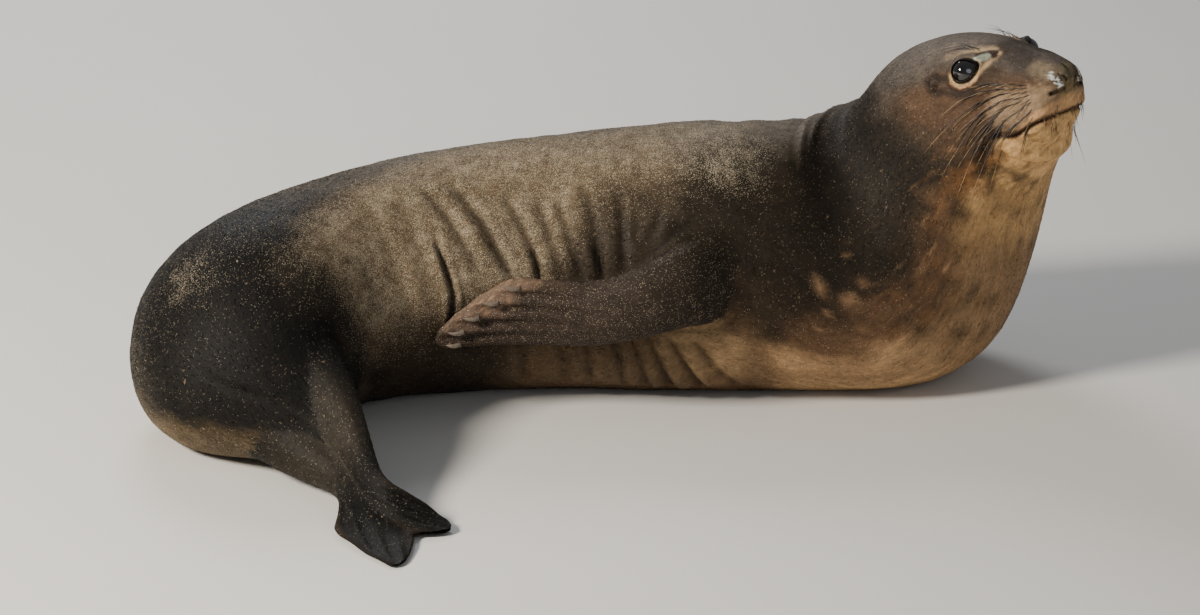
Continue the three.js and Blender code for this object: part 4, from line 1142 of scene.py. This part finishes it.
# A blade's sections, by share of its length, width, depth at the root and share of the rise
TUFT_SECTIONS = [(0.0, 0.62, -TUFT_ROOT, 0.0), (0.5, 1.0, 0.0, 0.62)]
TUFT_CORNERS = ((-0.5, 0.0), (0.5, 0.0), (0.0, 0.34))  # across and out, in widths
TUFT_FACES = np.array([(1, 0, 2), (0, 1, 4), (0, 4, 3), (1, 2, 5), (1, 5, 4), (2, 0, 3), (2, 3, 5),
                       (3, 4, 6), (4, 5, 6), (5, 3, 6)])
TUFT_SHADES = np.array([0.9, 0.9, 0.93, 0.98, 0.98, 1.02, 1.07])  # from root to tip
BAKE_PATCH, BAKE_EDGE = 0.003, 0.001  # size of a tuft on the bake map, and the margin round the map


def tuft_sizes(lie, p):
    """Density, length, width and rise at places, blended from kind to kind along the animal."""
    part, along = part_along(lie)
    stem, lids = part == 0, part >= FIRST_LID_PART
    near_eye, forward = eye_distance(p), in_head(p)[..., 0]
    sizes = np.array(TUFT_KINDS["body"])
    for name, share in (
        ("neck", stem * smooth(900, 500, along / MM)),
        ("head", np.where(stem, smooth(420, 230, along / MM), lids)),
        ("muzzle", np.where(stem, np.maximum(smooth(70, 120, forward), smooth(3, 2, near_eye)), 0)),
        ("muzzle", lids * 1.0),
        ("limb", is_limb(part) * smooth(0.05, 0.35, along)),
    ):
        sizes = sizes + (np.array(TUFT_KINDS[name]) - sizes) * share[..., None]
    return sizes


def bald_mask(lie, p):
    """One where the coat grows, and 0 on lid rims, nostrils, nose tip, mouth line and flipper tips."""
    part, along = part_along(lie)
    local, _ = on_right(p)
    grow = smooth(1.28, 1.4, eye_distance(p)) * smooth(12, 24, np.linalg.norm(local - NOSTRIL_AT, axis=-1))
    gap, _ = line_distance(local[..., [0, 2]], MOUTH_LINE)
    grow = grow * np.where(local[..., 0] > MOUTH_CORNER - 6, smooth(4, 7, gap), 1)
    return np.where(is_limb(part), smooth(0.97, 0.9, along), grow)


def scatter(mesh, rng):
    """Seeded places on the mesh, by area and local density: points, normals, lie directions and both maps."""
    co, corner, lie = mesh_arrays(mesh)
    bake, normal = read(mesh.uv_layers[BAKE_MAP].data, "uv", 2), read(mesh.vertices, "normal", 3)
    mesh.calc_loop_triangles()
    loops = read(mesh.loop_triangles, "loops", 3, int)
    p = co[corner[loops]] / MM + FOOTPRINT_MIDDLE
    side_a, side_b = p[:, 1] - p[:, 0], p[:, 2] - p[:, 0]
    area = np.linalg.norm(np.cross(side_a, side_b), axis=1) / 2
    at, middle = lie[loops].mean(1), p.mean(1)
    want = tuft_sizes(at, middle)[:, 0] * area * MM**2
    want = want * (middle[:, 2] > TUFT_FLOOR) * bald_mask(at, middle)
    tri = np.repeat(np.arange(len(loops)), rng.poisson(want))
    a, b = rng.random(len(tri)), rng.random(len(tri))
    flip = a + b > 1
    a, b = np.where(flip, 1 - a, a), np.where(flip, 1 - b, b)
    share = np.stack([1 - a - b, a, b], -1)[..., None]
    up = unit((normal[corner[loops]][tri] * share).sum(1))
    d = lie[loops][:, 1:] - lie[loops][:, :1]
    along = side_a * d[:, 1, 1:] - side_b * d[:, 0, 1:]
    along = along * np.sign(d[:, 0, 0] * d[:, 1, 1] - d[:, 1, 0] * d[:, 0, 1])[:, None]
    along = along[tri]
    along = unit(along - up * np.sum(along * up, -1, keepdims=True))
    root, lie_at, bake_at = [(values[tri] * share).sum(1) for values in (p, lie[loops], bake[loops])]
    return root, up, along, lie_at, bake_at


def tuft_meshes(skin):
    """Blades: three root points, three half way and a tip, bent down to the lie, in pieces along the seal."""
    rng = np.random.default_rng(7)
    root, up, along, lie, bake = scatter(skin.data, rng)
    count, corners = len(root), len(TUFT_SHADES)
    sizes = tuft_sizes(lie, root)
    length = sizes[:, 1:2] * rng.uniform(0.7, 1.3, count)[:, None]
    width = sizes[:, 2:3] * rng.uniform(0.75, 1.3, count)[:, None]
    rise = sizes[:, 3:4] * rng.uniform(0.45, 1.35, count)[:, None]
    swing = (rng.normal(0, 0.22, count) + 0.35 * slow_waves(root, 51, 90))[:, None]
    along = along * np.cos(swing) + np.cross(up, along) * np.sin(swing)
    across = np.cross(up, along)
    verts, local = [], []
    for share, wide, sink, lift in TUFT_SECTIONS:
        middle = root + along * (share * length) + up * (sink + lift * rise)
        for beside, out in TUFT_CORNERS:
            verts.append(middle + across * (beside * wide * width) + up * (out * wide * width))
            local.append((share, beside * wide))
    verts.append(root + along * length + up * rise)
    local.append((1.0, 0.0))
    verts, local = np.stack(verts, 1), np.array(local)
    verts[..., 2] = np.maximum(verts[..., 2], FLOOR_CLEAR)
    looks = [coat_colour(lie, root) * rng.uniform(0.82, 1.18, count)[:, None], sand_cover(lie, root),
             crease_shade(lie), lie_space(lie)]
    order = np.argsort(lie[:, 0], kind="stable")
    pieces = []
    for number, some in enumerate(np.array_split(order, int(np.ceil(count / TUFTS_IN_PIECE))), 1):
        tris = (np.arange(len(some))[:, None, None] * corners + TUFT_FACES).reshape(-1, 3)
        uv = np.clip(bake[some][:, None] + (local - (0.5, 0.0)) * BAKE_PATCH, BAKE_EDGE, 1 - BAKE_EDGE)
        maps = {BAKE_MAP: [uv[:, TUFT_FACES].reshape(-1, 3, 2)]}
        piece = new_object(f"coat_{number:02d}", verts[some].reshape(-1, 3), [tris], maps)
        colour, sand, crease, space = [np.repeat(values[some], corners, 0) for values in looks]
        dress(piece.data, colour * np.tile(TUFT_SHADES, len(some))[:, None], sand, crease, space)
        pieces.append(piece)
    return pieces


# Whiskers, lip hairs and brow hairs
WHISKER_ROWS, WHISKER_COLUMNS, LIP_HAIRS = 8, 7, 12
# First and last roots of the top, middle and bottom rows: distance from the nose and degrees from the back
WHISKER_FRONT, WHISKER_REAR = ((54, 63), (46, 77), (40, 98)), ((112, 68), (150, 96), (70, 114))
WHISKER_SCATTER = (1.5, 0.6)  # millimetres and degrees
WHISKER_LENGTHS = (32, 30, 105)  # the least, then how much more in the middle rows and at their rear
LIP_HAIR_PLACES, LIP_HAIR_LENGTHS, BROW_HAIR_LENGTHS = ((2, 36), (112, 166)), (22, 44), (52, 88)
WHISKER_RADIUS, HAIR_RADIUS, WHISKER_ROOT, HAIR_ROOT = 1.05, 0.6, 3, 2  # the roots' depth in the skin
BROW_HAIRS = on_head([(-18, 56, 58), (-8, 60, 56), (0, 63, 52), (-26, 60, 58), (6, 56, 54), (-12, 64, 54),
                      (10, 60, 48)])
HAIR_SIDES, HAIR_RINGS, HAIR_THINNING, HAIR_TAPER = 6, 16, 0.93, 1.7
NO_HAIRS_WAY = [0.31, 0.2, 0.93]  # a direction that no hair follows


def hair_tubes(root, way, sag, length, radius):
    """Tapered tubes along root + length * (way * x + sag * x * x), closed over a thin tip."""
    count = len(root)
    x = np.linspace(0, 1, HAIR_RINGS)[None, :, None]
    path = root[:, None] + length[:, None, None] * (way[:, None] * x + sag[:, None] * x**2)
    along = unit(np.gradient(path, axis=1))
    side = unit(np.cross(along, NO_HAIRS_WAY))
    other = np.cross(along, side)
    turn = np.linspace(0, 2 * np.pi, HAIR_SIDES, endpoint=False)[:, None]
    thick = radius[:, None, None, None] * (1 - HAIR_THINNING * x[..., None] ** HAIR_TAPER)
    ring = path[:, :, None] + thick * (side[:, :, None] * np.cos(turn) + other[:, :, None] * np.sin(turn))
    verts = np.concatenate([ring.reshape(count, -1, 3), path[:, :1], path[:, -1:]], 1)
    base = (np.arange(count) * verts.shape[1])[:, None, None]
    quads = (base + grid_quads(HAIR_RINGS, HAIR_SIDES)).reshape(-1, 4)
    caps = (base + np.concatenate(end_fans(HAIR_RINGS, HAIR_SIDES))).reshape(-1, 3)
    tip = np.concatenate([np.repeat(np.linspace(0, 1, HAIR_RINGS), HAIR_SIDES), [0, 1]])
    return verts.reshape(-1, 3), [quads, caps], np.tile(tip, count)


def outward_at(s, angle):
    """Place, outward normal and tailward direction of the bare stem at distances and angles."""
    here = stem_point(s, angle)
    along = unit(stem_point(s + 1.0, angle) - stem_point(s - 1.0, angle))
    turned = stem_point(s, angle + 0.01) - stem_point(s, angle - 0.01)
    out = unit(np.cross(turned, along))
    out = out * np.sign(np.sum(out * (here - stem_row(s)[..., :3]), -1, keepdims=True))
    return here, out, along


def across_rows(keys, share):
    """Curve of the second degree through the top, middle and bottom keys at shares 0, a half and 1."""
    top, middle, bottom = np.array(keys, float)
    x = share[:, None]
    return top * (1 - x) * (1 - 2 * x) + middle * 4 * x * (1 - x) + bottom * x * (2 * x - 1)


def whiskers():
    """Seeded hairs of both sides in one piece: whiskers back along their rows, lip hairs and brow hairs."""
    rng = np.random.default_rng(11)
    grid = np.meshgrid(np.linspace(0, 1, WHISKER_ROWS), np.linspace(0, 1, WHISKER_COLUMNS), indexing="ij")
    row, column = [values.ravel() for values in grid]
    front, rear = across_rows(WHISKER_FRONT, row), across_rows(WHISKER_REAR, row)
    field, ahead = front + (rear - front) * column[:, None], 0.05 * (rear - front)
    bulge = np.sin(np.pi * (0.12 + 0.76 * row))
    least, more_middle, more_rear = WHISKER_LENGTHS
    span = least + more_middle * bulge + more_rear * column**2.4 * bulge
    f, r, u = HEAD_AXES
    batches = []
    for side in (1, -1):
        shift = rng.normal(0, 1, (2, len(row)))
        s = field[:, 0] + WHISKER_SCATTER[0] * shift[0]
        angle = np.radians(field[:, 1] + WHISKER_SCATTER[1] * shift[1]) * side
        here, out, along = outward_at(s, angle)
        towards = unit(stem_point(s + ahead[:, 0], angle + np.radians(ahead[:, 1]) * side) - here)
        length = span * rng.uniform(0.8, 1.15, len(row))
        way = unit(towards + 0.2 * out + rng.normal(0, 0.03, here.shape))
        sag = (-0.08 - 0.24 * column)[:, None] * u + 0.06 * out + rng.normal(0, 0.03, here.shape)
        batches.append((here - WHISKER_ROOT * out, way, sag, length, WHISKER_RADIUS * (0.8 + 0.3 * column)))
        s, degrees = [rng.uniform(*limits, LIP_HAIRS) for limits in LIP_HAIR_PLACES]
        here, out, along = outward_at(s, side * np.radians(degrees))
        way = unit(0.45 * out + 0.5 * along - 0.9 * u + rng.normal(0, 0.12, here.shape))
        sag = -0.35 * u - 0.2 * out + rng.normal(0, 0.06, here.shape)
        length = rng.uniform(*LIP_HAIR_LENGTHS, LIP_HAIRS)
        batches.append((here - HAIR_ROOT * out, way, sag, length, np.full(LIP_HAIRS, HAIR_RADIUS)))
        here = head_point(BROW_HAIRS[:, 0], BROW_HAIRS[:, 1] * side, BROW_HAIRS[:, 2] - HAIR_ROOT)
        way = unit(0.5 * u + 0.3 * r * side - 0.62 * f + rng.normal(0, 0.1, here.shape))
        sag = -0.5 * u - 0.35 * f + rng.normal(0, 0.06, here.shape)
        length = rng.uniform(*BROW_HAIR_LENGTHS, len(here))
        batches.append((here, way, sag, length, np.full(len(here), HAIR_RADIUS)))
    verts, faces, tip = hair_tubes(*[np.concatenate(values) for values in zip(*batches)])
    piece = new_object("whiskers", verts, faces)
    store(piece.data, "tip", "FLOAT", tip)
    return piece


# Eyeballs
CORNEA_RISE, CORNEA_SPREAD, BALL_SHARE = 0.05, 0.5, 0.985  # the last in eye radii, away from the cornea
EYEBALL_RINGS, EYEBALL_STEPS = 64, 72


def eyeball(name, side):
    """A ball about the look axis, its front swollen by a bell of the angle from that axis."""
    origin, slit, across, look = eye_frame(side)
    polar = np.pi * (1 - np.cos(np.linspace(0, np.pi, EYEBALL_RINGS + 2)[1:-1])) / 2
    turn = np.linspace(0, 2 * np.pi, EYEBALL_STEPS, endpoint=False)
    polar, turn = np.broadcast_arrays(polar[:, None], turn[None, :])
    radius = EYE_RADIUS * (BALL_SHARE + CORNEA_RISE * bell(polar, CORNEA_SPREAD))
    ring = np.sin(polar)[..., None] * (np.cos(turn)[..., None] * slit + np.sin(turn)[..., None] * across)
    p = origin + radius[..., None] * (ring + np.cos(polar)[..., None] * look)
    verts, faces, _ = closed_grid(p, polar, turn, 0)
    piece = new_object(name, verts, faces)
    store(piece.data, "off_axis", "FLOAT", np.concatenate([polar.ravel(), [0.0, np.pi]]))
    return piece


# Materials, with colours in sRGB out of 255
CREASE_PAINTED_SHADE, WORN_TAN, SAND_DARK, SAND_PALE = (20, 15, 11), (150, 124, 94), (98, 84, 64), (236, 220, 190)
PUPIL, IRIS_DARK, IRIS_PALE, EYE_RIM = (3, 3, 4), (9, 7, 8), (22, 16, 14), (12, 9, 8)
HORN_DARK, HORN_PALE_AND_HIGHLIGHT, HAIR_DARK, HAIR_PALE = (26, 22, 20), (128, 114, 100), (16, 12, 10), (176, 142, 92)
FLOOR_DARK, FLOOR_PALE = (206, 203, 198), (212, 209, 204)
HIDE_BUMP, COAT_BUMP, CLAW_BUMP = 0.6, 0.35, 0.5  # strengths
COAT_BUMP_DEPTH, CLAW_BUMP_DEPTH = 0.0012, 0.0008
FINE_STREAKS, BROAD_STREAKS = (90, 620, 620), (14, 60, 60)  # waves in a metre along the lie and across it
GRAINS_IN_METRE = 880.0


def material(name):
    """A new material: itself, its tree and its Principled shader."""
    made = bpy.data.materials.new(name)
    made.use_nodes = True
    tree = made.node_tree
    tree.nodes.clear()
    shader = tree.nodes.new("ShaderNodeBsdfPrincipled")
    out = tree.nodes.new("ShaderNodeOutputMaterial")
    tree.links.new(shader.outputs["BSDF"], out.inputs["Surface"])
    return made, tree, shader


def feed(tree, made, inputs):
    """Links each input to another node's output, or sets it to a plain value."""
    for key, value in inputs.items():
        if isinstance(value, bpy.types.NodeSocket):
            tree.links.new(value, made.inputs[key])
        else:
            made.inputs[key].default_value = value


def node(tree, kind, inputs=None, **settings):
    """A new node with its settings, and its inputs fed."""
    made = tree.nodes.new(kind)
    for key, value in settings.items():
        setattr(made, key, value)
    feed(tree, made, inputs or {})
    return made


def maths(tree, operation, a, b):
    return node(tree, "ShaderNodeMath", {0: a, 1: b}, operation=operation).outputs[0]


def times(tree, a, b):
    return maths(tree, "MULTIPLY", a, b)


def vector_maths(tree, operation, inputs):
    return node(tree, "ShaderNodeVectorMath", inputs, operation=operation).outputs[0]


def mix(tree, share, a, b):
    """A share of colour b in the place of colour a."""
    made = node(tree, "ShaderNodeMix", {"Factor": share, "A": a, "B": b}, data_type="RGBA")
    return [o for o in made.outputs if o.type == "RGBA"][0]


def mix_value(tree, share, a, b):
    """The same for plain numbers."""
    return node(tree, "ShaderNodeMix", {0: share, 2: a, 3: b}, data_type="FLOAT").outputs[0]


def ramp(tree, value, low=0.0, high=1.0, to=(0.0, 1.0)):
    """The place of a value between low and high, kept within them, carried over to a second range."""
    inputs = {"Value": value, "From Min": low, "From Max": high, "To Min": to[0], "To Max": to[1]}
    return node(tree, "ShaderNodeMapRange", inputs, clamp=True).outputs["Result"]


def noise(tree, place, scale, detail=2.0, roughness=0.5, distortion=0.0):
    inputs = {"Vector": place, "Scale": scale, "Detail": detail, "Roughness": roughness}
    return node(tree, "ShaderNodeTexNoise", {**inputs, "Distortion": distortion}).outputs["Fac"]


def bump(tree, strength, distance, height):
    inputs = {"Strength": strength, "Distance": distance, "Height": height}
    return node(tree, "ShaderNodeBump", inputs).outputs["Normal"]


def attribute(tree, name, output="Fac"):
    return node(tree, "ShaderNodeAttribute", attribute_name=name).outputs[output]


def object_place(tree):
    return node(tree, "ShaderNodeTexCoord").outputs["Object"]


def rgb(colour):
    return (*linear(colour), 1.0)


def group(name, inputs, outputs):
    """A node group that puts out plain numbers: inputs by name with their default, or None for a vector."""
    tree = bpy.data.node_groups.new(name, "ShaderNodeTree")
    for label, default in inputs.items():
        kind = "NodeSocketVector" if default is None else "NodeSocketFloat"
        socket = tree.interface.new_socket(name=label, in_out="INPUT", socket_type=kind)
        if default is not None:
            socket.default_value = default
    for label in outputs:
        tree.interface.new_socket(name=label, in_out="OUTPUT", socket_type="NodeSocketFloat")
    return tree, tree.nodes.new("NodeGroupInput").outputs, tree.nodes.new("NodeGroupOutput")


def fur_streaks_group():
    """Streaks along the coat's lie, fine and broad, and their height."""
    tree, given, put = group("fur_streaks", {"Lie": None, "Fineness": 1.0}, ["Light", "Height"])
    fine = vector_maths(tree, "MULTIPLY", {0: given["Lie"], 1: FINE_STREAKS})
    fine = vector_maths(tree, "SCALE", {0: fine, "Scale": given["Fineness"]})
    broad = vector_maths(tree, "MULTIPLY", {0: given["Lie"], 1: BROAD_STREAKS})
    hairs, locks = noise(tree, fine, 1.0, 3.0, 0.6), noise(tree, broad, 1.0, 4.0, 0.65)
    light = mix_value(tree, 0.4, ramp(tree, hairs, 0.3, 0.7), ramp(tree, locks, 0.3, 0.7))
    feed(tree, put, {"Light": light, "Height": hairs})
    return tree


def sand_group():
    """Grains of dry sand in patches: a mask that grows with the cover, and each grain's tone."""
    tree, given, put = group("sand_grains", {"Cover": 0.3}, ["Mask", "Tone"])
    place = object_place(tree)
    grain = {"Vector": place, "Scale": GRAINS_IN_METRE, "Randomness": 1.0}
    grain = node(tree, "ShaderNodeTexVoronoi", grain).outputs
    shade = node(tree, "ShaderNodeSeparateColor", {"Color": grain["Color"]}).outputs
    amount = times(tree, given["Cover"], ramp(tree, noise(tree, place, 38.0, 4.0, 0.62), 0.22, 0.66))
    keep = maths(tree, "LESS_THAN", shade["Red"], amount)
    core = ramp(tree, grain["Distance"], 0.62, 0.38)
    feed(tree, put, {"Mask": times(tree, keep, core), "Tone": shade["Green"]})
    return tree


def blotch_group():
    """Soft darker and paler blotches, and a few small pale flecks of worn hair."""
    tree, given, put = group("blotches", {"Amount": 1.0}, ["Blotch", "Fleck"])
    place = object_place(tree)
    soft = ramp(tree, noise(tree, place, 9.0, 5.0, 0.6), 0.3, 0.7)
    mottle = ramp(tree, noise(tree, place, 95.0, 4.0, 0.7), 0.32, 0.68)
    fleck = ramp(tree, noise(tree, place, 130.0), 0.66, 0.74)
    some = ramp(tree, noise(tree, place, 11.0, 1.0), 0.5, 0.66)
    blotch = times(tree, mix_value(tree, 0.45, soft, mottle), given["Amount"])
    feed(tree, put, {"Blotch": blotch, "Fleck": times(tree, fleck, some)})
    return tree


def coat_material(name, bump_strength, groups):
    """Hide and tufts alike: the coat's colour with streaks, blotches, painted shade in the creases, flecks
    and sand.
    """
    made, tree, shader = material(name)
    coat = node(tree, "ShaderNodeAttribute", attribute_name="coat").outputs
    crease = attribute(tree, "crease")
    lie = {"Lie": attribute(tree, "lie_space", "Vector")}
    streaks = node(tree, "ShaderNodeGroup", lie, node_tree=groups["streaks"]).outputs
    blotch = node(tree, "ShaderNodeGroup", node_tree=groups["blotches"]).outputs
    sand = node(tree, "ShaderNodeGroup", {"Cover": coat["Alpha"]}, node_tree=groups["sand"]).outputs
    light, tone = ramp(tree, streaks["Light"], to=(0.58, 1.4)), ramp(tree, blotch["Blotch"], to=(0.62, 1.36))
    base = vector_maths(tree, "SCALE", {0: coat["Color"], "Scale": times(tree, light, tone)})
    # painted shade: the coat darkened in the body's creases
    base = mix(tree, times(tree, crease, 0.6), base, rgb(CREASE_PAINTED_SHADE))
    base = mix(tree, times(tree, blotch["Fleck"], 0.5), base, rgb(WORN_TAN))
    grains = mix(tree, sand["Tone"], rgb(SAND_DARK), rgb(SAND_PALE))
    base = mix(tree, times(tree, sand["Mask"], ramp(tree, crease, to=(0.85, 0.1))), base, grains)
    rough = mix_value(tree, sand["Mask"], ramp(tree, streaks["Light"], to=(0.52, 0.68)), 0.85)
    height = maths(tree, "ADD", streaks["Height"], times(tree, sand["Mask"], 0.5))
    feed(tree, shader, {"Base Color": base, "Roughness": rough, "Specular IOR Level": 0.11,
                        "Normal": bump(tree, bump_strength, COAT_BUMP_DEPTH, height)})
    return made


def eye_material():
    """Near-black pupil in a very dark brown, softly mottled iris with a brown rim, under a clear wet coat."""
    made, tree, shader = material("eye_wet")
    off_axis = attribute(tree, "off_axis")
    iris = mix(tree, noise(tree, object_place(tree), 260.0, 3.0), rgb(IRIS_DARK), rgb(IRIS_PALE))
    inside = mix(tree, ramp(tree, off_axis, 0.3, 0.36), rgb(PUPIL), iris)
    whole = mix(tree, ramp(tree, off_axis, 0.7, 0.8), inside, rgb(EYE_RIM))
    feed(tree, shader, {"Base Color": whole, "Roughness": 0.08, "Coat Weight": 1.0, "Coat Roughness": 0.03})
    return made


def claw_material():
    """Dark horn with paler bands, which are partly painted highlights."""
    made, tree, shader = material("claw_horn")
    bands = noise(tree, object_place(tree), 120.0, 4.0, distortion=0.6)
    feed(tree, shader, {"Base Color": mix(tree, bands, rgb(HORN_DARK), rgb(HORN_PALE_AND_HIGHLIGHT)),
                        "Roughness": ramp(tree, bands, -0.6, 2.2),
                        "Normal": bump(tree, CLAW_BUMP, CLAW_BUMP_DEPTH, bands)})
    return made


def whisker_material():
    """Dark hair, pale towards the tip of some hairs."""
    made, tree, shader = material("whisker")
    vary = noise(tree, object_place(tree), 60.0)
    pale = times(tree, ramp(tree, attribute(tree, "tip"), 0.5, 0.85), ramp(tree, vary, 0.3, 0.55))
    feed(tree, shader, {"Base Color": mix(tree, pale, rgb(HAIR_DARK), rgb(HAIR_PALE)), "Roughness": 0.35})
    return made


def floor_material():
    made, tree, shader = material("floor_plain")
    colour = mix(tree, noise(tree, object_place(tree), 1.2), rgb(FLOOR_DARK), rgb(FLOOR_PALE))
    feed(tree, shader, {"Base Color": colour, "Roughness": 0.7})
    return made


def finish_piece(piece, made, nodes=()):
    """Gives a piece its material, slot and body, and hides the nodes that it stands for."""
    piece.data.materials.append(made)
    if nodes:
        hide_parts(*nodes)
    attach(piece, "root")


# The model
FLESH = ("neck", "chest", "torso", "loin", "hips", "tail", "head", "lower_jaw", "foreflipper_right",
         "foreflipper_left", "hind_limb_left", "hind_flipper_left", "hind_limb_right", "hind_flipper_right")
groups = {"streaks": fur_streaks_group(), "sand": sand_group(), "blotches": blotch_group()}
skin = build_skin()
dress_skin(skin.data)
finish_piece(skin, coat_material("hide", HIDE_BUMP, groups), FLESH)
coat = coat_material("coat", COAT_BUMP, groups)
for piece in tuft_meshes(skin):
    finish_piece(piece, coat)
finish_piece(whiskers(), whisker_material())
eye_wet = eye_material()
for name, side in (("right", 1), ("left", -1)):
    finish_piece(eyeball("eyeball_" + name, side), eye_wet, ["eye_" + name])
claw_horn = claw_material()
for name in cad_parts:
    if name.startswith("claw_"):
        for slot in bpy.data.objects[name].material_slots:
            slot.material = claw_horn

# Floor, lights and camera
FLOOR_SIZE, FLOOR_DROP = 60, 0.0006
LAMPS = {  # place, target, size, watts, colour
    "key": ((-4.7, -2.9, 3.7), (0, 0.2, 0.3), 1.5, 780, (1.0, 0.93, 0.82)),
    "fill": ((3.5, -5.0, 3.0), (0.2, 0, 0.3), 4.0, 60, (0.93, 0.96, 1.0)),
    "rim": ((-1.5, 4.5, 3.8), (0, 0.2, 0.4), 2.5, 170, (0.95, 0.97, 1.0)),
}
SKY, SKY_STRENGTH = (0.86, 0.9, 0.96, 1), 0.25
TARGET, CAMERA_DISTANCE, CAMERA_RISE, LENS = np.array([-0.013, 0.214, 0.1817]), 13.0, np.radians(20.0), 183.3


def placed(name, data, place, target):
    """A lamp or camera at its place, turned to its target."""
    thing = bpy.data.objects.new(name, data)
    bpy.context.scene.collection.objects.link(thing)
    thing.location = place
    thing.rotation_euler = (Vector(target) - Vector(place)).to_track_quat("-Z", "Y").to_euler()
    return thing


bpy.ops.mesh.primitive_plane_add(size=FLOOR_SIZE, location=(0, 0, -FLOOR_DROP))
floor = bpy.context.object
floor.name = "floor"
floor.data.materials.append(floor_material())
for name, (place, target, size, watts, colour) in LAMPS.items():
    lamp = bpy.data.lights.new(name, "AREA")
    lamp.shape, lamp.size, lamp.energy, lamp.color = "DISK", size, watts, colour
    placed(name, lamp, place, target)
world = bpy.data.worlds.new("studio")
bpy.context.scene.world = world
world.use_nodes = True
feed(world.node_tree, world.node_tree.nodes["Background"], {"Color": SKY, "Strength": SKY_STRENGTH})
away = np.array([0.0, -np.cos(CAMERA_RISE), np.sin(CAMERA_RISE)]) * CAMERA_DISTANCE
camera = placed("camera", bpy.data.cameras.new("camera"), tuple(TARGET + away), tuple(TARGET))
camera.data.lens = LENS
bpy.context.scene.camera = camera
